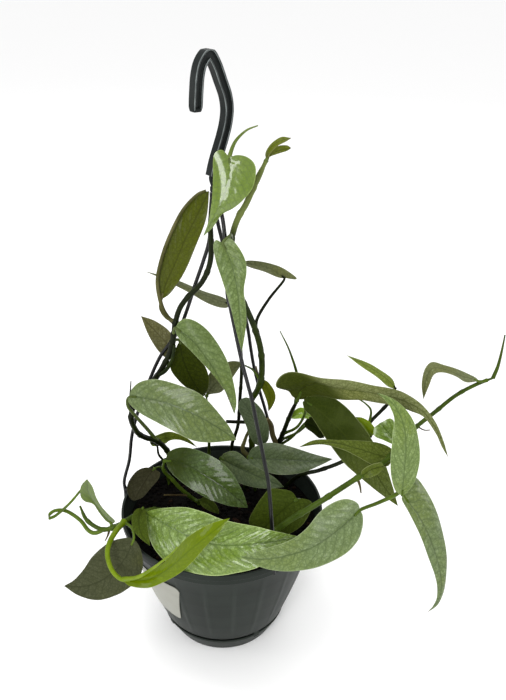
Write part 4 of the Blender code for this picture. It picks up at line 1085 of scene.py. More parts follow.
@dataclass(frozen=True)
class Leaf:
    """A blade and its stalk, as the picture shows them.

    Args:
        name: Its name.
        tone: What the viewer's side looks like.
        rib: From the base to the tip as (px, py, depth in mm).
        left: One edge beside the rib as (px, py), without base and tip.
        right: The other edge.
        stalk: Its stalk's route, or empty for a straight one from the stem.
        rise: How far each edge stands off the rib towards the viewer in mm, at its widest.
        gain: How bright it is beside other leaves of its tone: partly its own tone and partly painted light
            and shade, low for shaded blades and high for lit ones.
        stalk_radius: In mm.
        stalk_tone: Surface of its stalk, if it isn't that of the stem's other stalks.
    """

    name: str
    tone: Tone
    rib: tuple
    left: tuple
    right: tuple
    stalk: tuple = ()
    rise: tuple = (2.5, 2.5)
    gain: float = 1.0
    stalk_radius: float = 1.6
    stalk_tone: Optional[StemTone] = None


@dataclass(frozen=True)
class Shoot:
    """A bare shoot, sheath, root or rolled margin: its radii at both ends in mm, surface and route."""

    name: str
    radii: tuple
    tone: StemTone
    route: tuple


@dataclass(frozen=True)
class LeafyStem:
    """One leafy stem of the solid model.

    Args:
        node: The node's name.
        tone: Surface of the stem.
        stalk_tone: Surface of its stalks.
        radii: At the soil and at the tip, in mm.
        route: From the soil up; the first point is on the soil, so it has no depth.
        leaves: Its leaves.
        shoots: What else grows on it.
    """

    node: str
    tone: StemTone
    stalk_tone: StemTone
    radii: tuple
    route: tuple
    leaves: tuple = ()
    shoots: tuple = ()


# Each leaf's gain is partly its own tone and partly painted light and shade: low for shaded blades, high for
# lit ones
LEAFY_STEMS = (
    LeafyStem("vine_left_climber", StemTone.DARK, StemTone.SAGE, radii=(2.9, 2.2), route=(
        (178, 477), (168, 452, 48), (157, 441, 34), (147, 438, 24), (139, 434, 13), (134, 427, 6),
        (131, 418, 3), (133.5, 407, 3), (141, 396, 4), (150, 385, 6), (159, 373, 7), (168, 357, 6),
        (172, 345, 5), (174, 332, 4), (176, 320, 3.5), (180, 308, 3), (187, 298, 2), (195, 290, 1),
        (202, 282, 0), (208, 270, -1), (211, 256, -2.5), (211, 240, -4), (210.5, 224, -6), (213, 208, -9),
        (220, 190, -10), (226, 174, -9.5),
    ), leaves=(
        Leaf("top_heart", Tone.FRESH, gain=0.85,
             rib=((229, 157, -11), (230, 173, -16), (225, 193, -19), (215, 215, -20), (203.5, 236, -16)),
             left=((222, 150), (215, 153), (213, 162), (213, 180), (212, 200), (209, 220)),
             right=((238, 155), (247, 157), (254, 163), (256, 172), (253, 187), (243, 200), (233, 208),
                    (222, 214), (213, 227)),
             stalk=((225, 178, -9.5), (227, 166, -9), (229, 158, -10.5))),
        Leaf("olive_underside", Tone.OLIVE_BACK, gain=0.74, rise=(0.5, 5), stalk_tone=StemTone.BARK,
             rib=((161, 300, 9), (166, 284, 9), (174, 266, 9), (186, 238, 9), (199, 212, 10), (209, 191, 12)),
             left=((156.5, 285), (158.5, 267), (166, 241), (180, 212), (195, 195)),
             right=((172, 291), (187, 266), (198, 240), (207, 216)),
             stalk=((175.5, 321, 4), (167, 318, 6), (161, 310, 8), (160.5, 303, 9))),
        Leaf("grey_brown_left", Tone.BROWN_BACK,
             rib=((177, 353, 20), (160, 336, 24), (141, 316, 26)),
             left=((174, 340), (168, 330), (155, 321)),
             right=((168, 358), (161, 354), (154, 345), (147, 332)),
             stalk=((172, 346, 6), (175, 351, 12), (177, 353, 19))),
        Leaf("sage_middle", Tone.PALE_SAGE, gain=0.84,
             rib=((175, 328, -3), (191, 339, -9), (205, 356, -14), (217, 374, -18), (226, 393, -22),
                  (234.5, 414, -26)),
             left=((180, 321), (187, 318.5), (197, 322), (208, 331), (218, 344), (226, 358), (231, 372),
                   (235, 390), (236.5, 403)),
             right=((178, 337), (190, 350), (205, 366), (218, 381), (228, 396)),
             stalk=((173.5, 334, 4), (174, 330, 0), (175.5, 328, -3))),
        Leaf("dark_underside", Tone.SHADE_BACK, gain=0.68,
             rib=((180, 340, 11), (182, 355, 12), (189, 374, 12), (203, 397, 11)),
             left=((176, 348), (172, 360), (171, 370), (180, 382), (190, 390)),
             right=((188, 346), (198, 357), (206, 368), (209, 380), (207, 391)),
             stalk=((172.5, 343, 5), (175, 340, 8), (179, 340, 11))),
        Leaf("sage_large", Tone.SAGE, gain=0.88, stalk_radius=2.1,
             rib=((129.5, 396, -9), (150, 399, -16), (172, 405, -22), (195, 414.5, -27), (217, 427, -30),
                  (236.5, 440, -32)),
             left=((132, 389), (140, 382), (150, 379.5), (160, 380), (178, 385), (195, 391), (206, 399),
                   (217, 411), (229, 426)),
             right=((129, 403), (140, 413), (158, 423), (177, 433), (193, 440.5), (208, 442.5), (224, 441.5)),
             stalk=((157, 441, 34), (149, 431, 23), (140, 421, 9), (133, 413, -3), (128, 406, -8),
                    (128.5, 398, -9))),
    ), shoots=(
        Shoot("top_spike", (1.9, 0.5), StemTone.PALE,
              ((229, 158, -10), (233, 146, -8), (238, 138, -7), (247, 130, -6), (258, 125.5, -6))),
        Shoot("node_spike", (1.5, 0.5), StemTone.DARK, ((131, 416, 3), (130, 400, 2), (131, 381, 2))),
        Shoot("node_sheath", (2.2, 1.2), StemTone.CLIMBER,
              ((157, 375, 7), (166, 370, 4), (172, 359, 2), (174.5, 345, 2))),
        Shoot("rolled_margin", (2.0, 1.1), StemTone.BARK,
              ((175, 321, 8.5), (167, 316, 8), (161.5, 305, 8), (157.5, 285, 8), (159.5, 267, 8),
               (167.5, 241, 8.5), (181.5, 212, 9), (196, 195.5, 10), (206, 190.5, 11))),
    )),
    LeafyStem("vine_right_climber", StemTone.CLIMBER, StemTone.SAGE, radii=(3.3, 2.5), route=(
        (246, 488), (251, 465, 42), (252, 445, 41), (251, 422, 39), (251, 402, 35), (257, 391, 31),
        (261, 380, 28), (262, 366, 25), (261, 352, 22), (258.5, 340, 20), (253.5, 325, 17), (247.5, 311, 15),
        (242, 299, 12), (238, 283, 9), (234, 264, 7), (231, 246, 5), (234, 229, 4), (239.5, 215, 4),
        (246, 204, 4), (256, 182, 4), (266, 161, 5),
    ), leaves=(
        Leaf("curled_top", Tone.OLIVE_BACK, gain=1.3, rise=(-3, 4), stalk_tone=StemTone.PALE,
             rib=((266.5, 160, 5), (269, 150, 3), (277, 142.5, 3), (291, 138, 3)),
             left=((265.5, 153), (271, 144), (281, 137.5)),
             right=((271, 153), (278, 146), (285, 142))),
        Leaf("curled_prong", Tone.OLIVE_BACK, gain=1.2, rise=(3, -3),
             rib=((267, 158, 6), (274, 152.5, 7), (282, 149.5, 8), (291, 148, 8)),
             left=((271, 150), (279, 146), (287, 145.5)),
             right=((272, 155.5), (279, 153), (287, 150.5))),
        Leaf("centre_hanging", Tone.PALE_SAGE, gain=0.9,
             rib=((222.5, 243, -23), (231, 262, -28), (237, 288, -35), (240, 320, -43), (242, 352, -50)),
             left=((216, 240), (213.5, 247), (216, 262), (222, 280), (230, 305), (236, 330), (240, 345)),
             right=((230, 238.5), (238, 246), (245, 259), (246.5, 272), (244, 290), (246, 310), (246, 326)),
             stalk=((232, 240, 4), (231, 235, -8), (229.5, 236, -18), (226, 239, -22), (222.5, 243, -23))),
        Leaf("edge_on_right", Tone.GREY_BACK, gain=0.88, rise=(-9, 8), stalk_tone=StemTone.DARK,
             rib=((284, 278, 20), (270, 269, 18), (255, 265, 14), (240, 263, 10)),
             left=((297, 279), (289, 271.5), (278, 265.5), (262, 261.5), (248, 260.5)),
             right=((280, 277.5), (267, 272.5), (253, 268.5)),
             stalk=((256, 331, 18), (257.5, 318, 19), (269, 299, 20), (284, 280, 20))),
        Leaf("small_olive", Tone.OLIVE_BACK, rise=(-2, 4),
             rib=((262, 379, 28), (268, 389, 30), (270.5, 400, 31), (268.5, 411.5, 31)),
             left=((261, 386), (265, 396), (267.5, 404)),
             right=((268, 382), (274, 390), (275.5, 398), (272.5, 406))),
    ), shoots=(
        Shoot("dry_sheath", (1.8, 0.6), StemTone.DRY, ((262, 386, 29), (258, 376, 31), (256, 366, 33))),
        Shoot("cut_stub", (1.9, 1.8), StemTone.DARK, ((251, 422, 39), (240, 422, 38), (226, 421.5, 37))),
        Shoot("node_prong", (1.6, 0.7), StemTone.GREEN, ((258, 380, 29), (253, 370, 27), (245, 365.5, 25))),
        Shoot("base_sheath", (3.2, 1.3), StemTone.BARK,
              ((250, 460, 40), (243, 450, 36), (245, 440, 35), (249, 430, 36))),
    )),
    LeafyStem("vine_centre", StemTone.DARK, StemTone.DARK, radii=(1.9, 1.6), route=(
        (232, 470), (232, 445, 52), (238, 425, 47), (240, 397, 41), (241.5, 372, 37), (240.5, 345, 32),
        (238, 322, 28), (233, 305, 25),
    ), leaves=(
        Leaf("edge_on_left", Tone.GREY_BACK, gain=0.92, rise=(-8, 8),
             rib=((231, 305, 24), (215, 299, 23), (195, 291, 22), (171, 280, 20), (147, 272, 18)),
             left=((224, 299), (205, 291.5), (188, 284.5), (168, 277)),
             right=((224, 307.5), (205, 301), (188, 292), (168, 281.5))),
    )),
    LeafyStem("leaf_grey_behind", StemTone.GREEN, StemTone.GREEN, radii=(1.7, 1.4), route=(
        (209, 470), (209, 440, 50), (208, 420, 42), (207, 405, 34), (206.5, 396, 30),
    ), leaves=(
        Leaf("grey_behind", Tone.GREY_BACK, gain=0.8,
             rib=((206.5, 395, 29), (215, 384, 28), (228, 373, 27), (242, 363, 26)),
             left=((205, 385), (212, 370), (227, 362), (236, 361)),
             right=((212, 394), (222, 391.5), (230, 381), (237, 371))),
    )),
    LeafyStem("vine_right_crown", StemTone.DARK, StemTone.GREEN, radii=(2.8, 2.1), route=(
        (276, 483), (277, 462, 54), (279.5, 443, 52), (285, 428, 46), (291, 413, 38), (297, 401, 31),
    ), leaves=(
        Leaf("long_arching", Tone.ARCHING, gain=0.86, rise=(8, -8),
             rib=((297, 399, 31), (304, 388, 25), (320, 384.5, 14), (343, 389, 7), (372, 393, 0),
                  (400, 399.5, -7), (423, 411.5, -12), (439, 434, -16), (448, 457, -19)),
             left=((292, 396), (288, 391), (276, 386), (279, 377), (288, 372), (300, 372.5), (320, 376.5),
                   (343, 380), (370, 385), (390, 388.5), (406, 394), (421, 404), (435, 422), (443, 440)),
             right=((303, 399), (314, 395.5), (340, 399.5), (365, 401.5), (392, 404.5), (410, 410.5),
                    (424, 417), (436, 434), (442, 447))),
        Leaf("broad_underside", Tone.BROAD_BACK,
             rib=((304, 399, 27), (322, 413, 23), (345, 435, 17), (368, 462, 10), (385, 488, 5),
                  (398, 506, 2)),
             left=((304, 409), (311, 416), (320, 430), (333, 449), (346, 465), (368, 484), (386, 498)),
             right=((314, 393.5), (330, 396), (345, 406), (358, 420), (371, 438), (384, 462), (392, 484)),
             stalk=((283, 434, 49), (297, 427, 42), (305, 413, 34), (304, 402, 28))),
        Leaf("small_dark", Tone.DARK, gain=0.25,
             rib=((304, 423, 46), (315, 427, 44), (324, 438, 42)),
             left=((309, 417), (318, 420), (324, 430)),
             right=((306, 428), (313, 433), (319, 438)),
             stalk=((280, 446, 52), (292, 437, 50), (304, 424, 47))),
        Leaf("small_lime", Tone.FRESH, gain=1.7,
             rib=((312, 417, 48), (302, 413, 49), (290, 418, 50)),
             left=((308, 410), (300, 407.5), (293, 412)),
             right=((308, 418.5), (300, 418.5), (294, 419)),
             stalk=((283, 440, 52), (298, 432, 51), (310, 421, 49))),
    ), shoots=(
        Shoot("rolled_spike", (2.1, 0.5), StemTone.GREEN,
              ((297, 404, 32), (298, 380, 37), (290, 352, 39), (280, 331, 40))),
        Shoot("withered_bit", (3.2, 2.4), StemTone.DRY,
              ((277, 447, 54), (273, 436, 51), (271, 425, 50), (267, 419, 50))),
    )),
    LeafyStem("vine_behind_right", StemTone.DARK, StemTone.DARK, radii=(2.3, 1.7), route=(
        (286, 489), (300, 475, 30), (320, 470, 27), (345, 460, 27), (358, 446, 28), (369, 424, 28),
        (381, 411, 27), (391, 400, 26), (395, 389, 25),
    ), leaves=(
        Leaf("edge_on_tip", Tone.GREEN_BACK, gain=1.8, rise=(-6, 6),
             rib=((396, 389, 25), (386, 378.5, 27), (368, 366.5, 29), (347, 355.5, 30)),
             left=((391, 377.5), (375, 366.5), (361, 360)),
             right=((389, 386.5), (378, 378), (362, 367))),
        Leaf("lime_bit", Tone.LIME,
             rib=((371, 437, 28), (366, 428, 26), (356, 417, 26)),
             left=((376, 431), (371, 423), (363, 418)),
             right=((366, 435), (361, 428))),
    ), shoots=(
        Shoot("curled_tendril", (1.5, 0.6), StemTone.GREEN,
              ((369, 424, 28), (371, 411, 26), (366, 404, 24), (357, 398, 22))),
    )),
    LeafyStem("vine_long_right", StemTone.GREEN, StemTone.FRESH, radii=(3.2, 1.8), route=(
        (256, 548), (266, 538, -48), (275, 531, -52), (290, 520, -55), (310, 508, -55), (323, 500, -53),
        (340, 489, -48), (362, 475, -40), (380, 465, -30), (396, 452, -17), (406, 440, -6), (415, 428, 6),
        (435, 412, 18), (455, 396, 28), (475, 385, 38), (493, 378, 46),
    ), leaves=(
        Leaf("sage_front_right", Tone.SAGE, gain=1.15, stalk_radius=2.3,
             rib=((360, 510, -66), (346, 523, -80), (330, 536, -94), (311, 548, -108), (285, 556, -118),
                  (262, 559, -124), (241, 557, -127)),
             left=((358, 504), (352, 500), (343, 499.5), (330, 505), (318, 514), (306, 529), (292, 539),
                   (268, 547.5)),
             right=((363, 517), (362, 530), (356, 543), (342, 556), (318, 567), (295, 571), (275, 570.5),
                    (258, 566)),
             stalk=((393, 455, -19), (401, 478, -25), (399, 492, -29), (380, 502, -46), (361, 509.5, -65))),
        Leaf("long_hanging", Tone.SAGE,
             rib=((403, 495, -30), (420, 518, -34), (433, 546, -40), (440.5, 575, -46), (440, 597, -49),
                  (428, 612, -48)),
             left=((402, 500), (409, 513), (418, 531), (428, 556), (436, 580), (437, 596), (433, 606)),
             right=((410, 478), (418, 479), (430, 497), (440, 520), (445, 545), (446.5, 568), (444, 588),
                    (438, 604)),
             stalk=((401, 480, -26), (403, 494, -29))),
        Leaf("light_hanging", Tone.PALE_SAGE, gain=1.15,
             rib=((402, 496, -31), (404, 472, -35), (406, 446, -34), (403, 423, -29), (393, 404, -24),
                  (377, 393, -20)),
             left=((395, 490), (391, 475), (390.5, 455), (392.5, 437), (394.5, 420), (390, 407), (384, 399)),
             right=((408, 491), (415, 481), (419.5, 463), (419.5, 445), (415.5, 426), (408, 412), (398, 402),
                    (387, 396)),
             stalk=((401, 480, -26), (402, 495, -30))),
        Leaf("curled_at_node", Tone.GREEN_BACK, rise=(5, 2),
             rib=((361, 477, -41), (371, 469.5, -40), (384, 466, -36)),
             left=((362, 470), (372, 464.5), (381, 463)),
             right=((367, 478), (376, 475), (382, 470))),
        Leaf("arching_left", Tone.GREEN_BACK, rise=(-4, 6),
             rib=((392, 458, -20), (378, 455, -19), (355, 448, -16), (330, 442.5, -11), (299, 447, -5)),
             left=((392, 449), (380, 443), (360, 440.5), (338, 440), (315, 440)),
             right=((388, 466), (375, 466), (358, 457), (342, 449.5), (322, 444.5))),
        Leaf("glossy_bit", Tone.BRIGHT, rise=(4, 4),
             rib=((398, 445, -12), (390, 434, -8), (380, 423, -6)),
             left=((392, 444), (383, 440), (375, 436), (375, 428)),
             right=((399, 436), (396, 425), (390, 418.5))),
        Leaf("far_right", Tone.GREY_BACK, gain=1.2, rise=(-6, 7),
             rib=((479, 381, 38), (461, 376, 33), (445, 369.5, 29), (432, 369, 27), (426, 381, 26),
                  (423.5, 399, 25)),
             left=((474, 376.5), (460, 370), (445, 365), (432.5, 361.5), (425, 369), (422, 385)),
             right=((466, 382.5), (456, 376.5), (445, 373), (435, 374.5), (429.5, 384)),
             stalk=((487, 381, 43), (480, 381.5, 39))),
    ), shoots=(
        Shoot("node_spur", (1.5, 0.6), StemTone.DRY, ((358, 479, -43), (360, 486, -43), (361, 493, -43))),
        Shoot("rolled_tip", (2.1, 0.7), StemTone.GREEN,
              ((493, 379, 46), (498, 366, 47), (502, 350, 48), (505, 335, 49))),
        Shoot("air_root", (0.8, 0.5), StemTone.DRY, ((418, 428, 7), (424, 430, 8), (430, 430, 8))),
    )),
    LeafyStem("vine_left_trailing", StemTone.GREEN, StemTone.FRESH, radii=(3.2, 1.8), route=(
        (164, 513), (154, 510, -6), (144, 512, -22), (134, 516, -34), (124, 522, -42), (114, 527, -46),
        (105, 529.5, -46), (96, 527, -44), (86, 519, -40), (80, 506, -36),
    ), leaves=(
        Leaf("bright_front", Tone.BRIGHT, stalk_radius=2.1,
             rib=((147, 512, -32), (160, 521, -46), (183, 533.5, -68), (212, 544, -88), (245, 545, -98),
                  (275, 541, -98), (300, 537, -92)),
             left=((152, 510), (165, 508), (187, 507.5), (205, 512.5), (220, 519), (247, 525), (272, 530)),
             right=((146, 518), (147.5, 532), (152, 545), (161, 557), (172, 566), (185, 571.5), (215, 575.5),
                    (240, 572), (260, 566), (282, 552)),
             stalk=((155, 510, -6), (150, 510, -20), (147, 512, -31))),
        Leaf("dark_beside", Tone.DARK, gain=1.3,
             rib=((143, 508, -26), (139, 520, -46), (141, 533, -64), (150, 546, -77)),
             left=((136, 509.5), (132, 518), (133, 529), (140, 538)),
             right=((146, 512), (147, 524), (149, 537))),
        Leaf("lime_glossy", Tone.LIME, gain=0.8, rise=(-2, 3), stalk_radius=2.8, stalk_tone=StemTone.LIME,
             rib=((122, 579, -94), (146, 580, -104), (168, 569, -114), (190, 550, -124), (210, 534, -127),
                  (230, 518, -124)),
             left=((130, 577.5), (146, 573), (162, 564), (175, 551), (187, 538), (200, 529), (214, 522.5)),
             right=((130, 586), (148, 588), (165, 581.5), (180, 573), (192, 562), (206, 546), (219, 532)),
             stalk=((124, 522, -42), (116, 531, -58), (109, 544, -76), (107.5, 556, -85), (112, 570, -90),
                    (121, 579, -94))),
        Leaf("lower_left_underside", Tone.GREY_BACK, gain=0.4,
             rib=((134, 539, -67), (124, 560, -75), (107, 577, -77), (86, 586, -77), (64, 586, -75)),
             left=((127, 537.5), (115, 540), (104, 546), (92, 557), (83, 570), (74, 580)),
             right=((139, 546), (142, 557), (142.5, 568), (138, 579), (130, 587), (117, 595), (98, 600),
                    (78, 595)),
             stalk=((124, 522, -42), (132, 528, -54), (134, 538, -66))),
        Leaf("far_left", Tone.FRESH, gain=0.65,
             rib=((112, 524, -44), (103, 514, -41), (95, 503, -38), (88.5, 492, -36), (87, 479, -34)),
             left=((106, 521), (99, 512.5), (93, 504), (85, 501.5), (80.5, 496), (81, 486)),
             right=((115, 521), (108, 514), (101, 506), (96, 497), (92.5, 487))),
    ), shoots=(
        Shoot("lime_sheath", (2.2, 0.6), StemTone.LIME,
              ((123, 579, -94), (138, 577, -106), (156, 566, -117), (172, 553, -127), (177, 547, -130))),
        Shoot("leaf_tail", (1.5, 0.5), StemTone.DRY, ((110, 528, -45), (108, 535, -46), (105, 541, -47))),
        Shoot("loop_shoot", (2.2, 1.1), StemTone.FRESH,
              ((104, 530, -46), (95, 533, -44), (88, 530, -40), (80, 520, -36), (66, 511, -30),
               (54, 511, -27), (47, 518, -26), (55, 516, -29), (69, 504, -33), (81, 490, -36))),
    )),
    LeafyStem("leaf_glossy_front", StemTone.GREEN, StemTone.GREEN, radii=(2.1, 1.8), route=(
        (199, 504), (192, 498, 24), (180, 488, 20), (171, 478, 14), (163.5, 470, 10), (164, 461, 9),
    ), leaves=(
        Leaf("glossy_front", Tone.GLOSSY,
             rib=((166, 460, 8), (185, 464, -1), (205, 475, -11), (228, 491, -21), (248, 508, -28)),
             left=((168, 453), (176, 448.5), (188, 448), (205, 453), (221, 462), (234, 476), (243, 492)),
             right=((168, 468), (176, 477), (190, 488), (207, 498), (228, 505.5))),
        Leaf("dim_low", Tone.DARK,
             rib=((199, 500, 18), (208, 504, 8), (219, 514, -4)),
             left=((205, 497), (213, 501), (218, 508)),
             right=((202, 506), (210, 511))),
    ), shoots=(
        Shoot("dead_stick", (1.4, 0.7), StemTone.DRY, ((189, 495, 23), (178, 495, 15), (164, 495, 8))),
    )),
    LeafyStem("leaf_olive_left", StemTone.GREEN, StemTone.GREEN, radii=(1.6, 1.3), route=(
        (169, 484), (166, 472, 46), (160, 467, 40), (155, 468, 34),
    ), leaves=(
        Leaf("olive_left", Tone.BROWN_BACK, gain=0.3,
             rib=((154, 469, 33), (146, 480, 24), (140, 490, 16), (134, 501, 8)),
             left=((146, 467.5), (137, 471), (129, 481), (127, 490), (130, 498)),
             right=((160, 473), (158, 480), (151, 488), (143, 497))),
    )),
    LeafyStem("leaf_narrow_back", StemTone.DARK, StemTone.DARK, radii=(1.4, 1.2), route=(
        (175, 485), (168, 466, 52), (159, 455, 52), (157, 446, 53), (151, 443, 54),
    ), leaves=(
        Leaf("narrow_dark", Tone.GREEN_BACK, gain=1.5, rise=(6, -5),
             rib=((150, 443, 54), (163, 438.5, 55), (178, 437, 56), (197, 447, 57)),
             left=((151, 439), (158, 435), (171, 431.5), (187, 438)),
             right=((153, 446), (163, 444.5), (171, 440), (182, 440.5))),
    )),
    LeafyStem("leaf_blue_upright", StemTone.GREEN, StemTone.GREEN, radii=(1.8, 1.5), route=(
        (262, 482), (262, 466, 30), (261, 452, 26), (261, 446, 24),
    ), leaves=(
        Leaf("blue_upright", Tone.BLUE,
             rib=((261, 446, 24), (258, 430, 21), (251, 414, 20), (241, 399, 20)),
             left=((254, 443), (249, 434), (246, 425), (241, 415), (238, 406)),
             right=((268, 440), (268.5, 426), (263, 411), (255, 402), (247, 397.5))),
    )),
    LeafyStem("leaf_grey_upper", StemTone.GREEN, StemTone.GREEN, radii=(1.8, 1.5), route=(
        (255, 490), (257, 474, 36), (256, 462, 31), (252, 455, 21), (248, 457, 12),
    ), leaves=(
        Leaf("grey_upper", Tone.BLUE, gain=1.05,
             rib=((248, 458, 10), (268, 459, 4), (290, 460, -1), (314, 461, -5), (333, 459, -8)),
             left=((250, 451), (257, 445.5), (270, 442.5), (290, 446), (315, 454.5)),
             right=((250, 463), (260, 469), (278, 474.5), (300, 473), (320, 465.5))),
    )),
    LeafyStem("leaf_grey_lower", StemTone.GREEN, StemTone.GREEN, radii=(1.7, 1.4), route=(
        (223, 489), (221, 476, 38), (219, 464, 35), (220, 458, 33),
    ), leaves=(
        Leaf("grey_lower", Tone.BLUE, gain=1.7,
             rib=((220, 458, 32), (243, 470, 24), (264, 479, 18), (284, 487, 13)),
             left=((225, 453), (236, 452), (250, 462), (262, 470), (275, 478)),
             right=((222, 467), (234, 480), (250, 486.5), (268, 488.5))),
    )),
    LeafyStem("leaf_folded_olive", StemTone.GREEN, StemTone.GREEN, radii=(1.8, 1.5), route=(
        (306, 512), (303, 505, -12), (300, 500, -24), (297, 499, -32),
    ), leaves=(
        Leaf("folded_olive", Tone.DARK, gain=1.15, rise=(-6, -6),
             rib=((297, 499, -33), (283, 510, -36), (268, 524, -40), (256, 535, -43)),
             left=((292, 492), (283, 489.5), (270, 489), (262, 497), (254, 509), (249, 522)),
             right=((304, 499), (312, 503), (310, 513), (301, 526), (285, 535), (268, 540))),
    )),
)


@dataclass
class Pot:
    """Tapered pot with its lip, band and faint upright ribs."""

    bench: Bench
    top: float = 146 * MM
    rim_radius: float = 100 * MM
    lip_low: float = 140 * MM
    band_radius: float = 98.2 * MM
    body_top: float = 133 * MM
    body_top_radius: float = 96.4 * MM
    step_height: float = 25.5 * MM
    step_radius: float = 64.6 * MM
    plug_radius: float = 60.2 * MM
    foot_radius: float = 52 * MM
    wall: float = 1.8 * MM
    underside: float = 5 * MM
    floor: float = 7.2 * MM
    ring_radius: float = 44 * MM
    ring_width: float = 3 * MM
    ribs: int = 21
    columns: int = 12
    rib_height: float = 0.34 * MM
    rib_places: tuple = (0.0, 0.06, 0.1, 0.2, 0.32, 0.41, 0.5)
    rib_lifts: tuple = (1.0, 0.75, 0.0, 0.0, 0.0, 0.0, 0.0)
    rib_margins: Pair = (2 * MM, 1 * MM)
    # How much lighter the ribs are painted: a painted highlight on their ridges
    rib_highlight: float = 0.5
    lip_wear: float = 0.8
    lip_wear_depth: float = 0.6 * MM
    bulge: float = 1.7 * MM
    lip_wall: float = 2.6 * MM
    lip_edge: float = 0.5 * MM
    draft: float = 0.1 * MM
    ledge: float = 0.4 * MM
    foot_edge: float = 0.8 * MM
    ring_low: float = 2.3 * MM
    fillet: float = 0.9 * MM

    def wall_radius(self, height: float, inset: float = 0.0) -> float:
        """Radius of the tapered wall, which bulges a little.

        Args:
            height: Where it is measured.
            inset: How far inside the outer face.

        Returns:
            The radius.
        """
        low = self.step_height + 2 * inset
        share = (height - low) / (self.body_top - low)
        straight = self.step_radius - inset + (self.body_top_radius - self.step_radius) * share
        return straight + 4 * self.bulge * share * (1 - share)

    def inner_radius(self, height: float) -> float:
        """Inner radius of the tapered wall at a height."""
        return self.wall_radius(height, self.wall)

    def profile(self) -> list[Pair]:
        """Section of the pot.

        Returns:
            Its (radius, height) points, from the floor up the inside and down the outside.
        """
        inside = self.rim_radius - self.lip_wall
        ring_inside = self.ring_radius - self.ring_width
        corners = [
            (0, self.floor),
            (self.foot_radius - self.wall - self.foot_edge, self.floor),
            (self.plug_radius - self.wall, self.step_height + self.wall),
            (self.step_radius - self.wall, self.step_height + 2 * self.wall),
            *((self.inner_radius(z * MM), z * MM) for z in (55, 80, 105)),
            (self.body_top_radius - self.wall, self.body_top),
            (inside, self.lip_low),
            (inside, self.top),
            (self.rim_radius - self.draft, self.top),
            (self.rim_radius, self.lip_low + self.ledge),
            (self.rim_radius - self.lip_edge, self.lip_low),
            (self.band_radius, self.lip_low - self.ledge / 2),
            (self.band_radius - self.draft, self.body_top + self.ledge),
            (self.body_top_radius + self.draft, self.body_top),
            *((self.wall_radius(z * MM), z * MM) for z in (112, 92, 72, 50)),
            (self.step_radius, self.step_height),
            (self.plug_radius, self.step_height - self.ledge),
            (self.foot_radius, self.underside + self.foot_edge),
            (self.foot_radius - self.foot_edge, self.underside),
            (self.ring_radius, self.underside),
            (self.ring_radius, self.ring_low),
            (ring_inside, self.ring_low),
            (ring_inside, self.underside),
            (0, self.underside),
        ]
        return filleted(corners, self.fillet)

    def ribbed(self, place: Vector) -> tuple[Vector, float]:
        """Moves a point of the turned pot so that its wall has ribs.

        Args:
            place: The point.

        Returns:
            Where it goes, and how much lighter it is made: a painted highlight on the ribs, rubbed plastic at
            the lip.
        """
        x, y, z = place
        radius = math.hypot(x, y)
        wear_and_highlight_level = 0.0
        turn = 2 * math.pi / self.ribs
        half = self.columns // 2
        rib, rest = divmod(round(math.atan2(y, x) * self.columns / turn) + half, self.columns)
        rest -= half
        share = math.copysign(self.rib_places[abs(rest)], rest)
        angle = (rib + share) * turn - math.pi / 2 + turn / 2
        low = self.step_height + self.rib_margins[0]
        outside = radius > self.wall_radius(z) - self.ledge
        if outside and low < z < self.body_top - self.rib_margins[1]:
            radius += self.rib_height * self.rib_lifts[abs(rest)]
            wear_and_highlight_level = self.rib_lifts[abs(rest)] * self.rib_highlight
        if z > self.top - self.lip_wear_depth or abs(z - self.lip_low) < self.lip_edge:
            wear_and_highlight_level = self.lip_wear
        return Vector((radius * math.cos(angle), radius * math.sin(angle), z)), wear_and_highlight_level

    def build(self) -> None:
        """Makes the pot."""
        made = self.bench.turned("pot_body", self.profile(), self.ribs * self.columns)
        wear_and_highlight = []
        for vert in made.data.vertices:
            wear_and_highlight_level = 0.0
            if vert.co.xy.length > 1 * MM:
                vert.co, wear_and_highlight_level = self.ribbed(vert.co)
            wear_and_highlight.append(wear_and_highlight_level)
        self.bench.mark(made, "wear_and_highlight", wear_and_highlight)
        self.bench.pick(made)
        self.bench.smooth(32)
        # The lighter ribs are a painted highlight; the lighter lip is rubbed plastic
        finish = PlasticFinish(
            body=srgb(24, 29, 25), scuff_and_highlight=srgb(54, 60, 55), roughness=0.42, wear_and_highlight="wear_and_highlight", wear_and_highlight_share=0.35,
        )
        self.bench.finish(made, "pot_plastic", ("pot",), [finish.dress("pot_grey")])


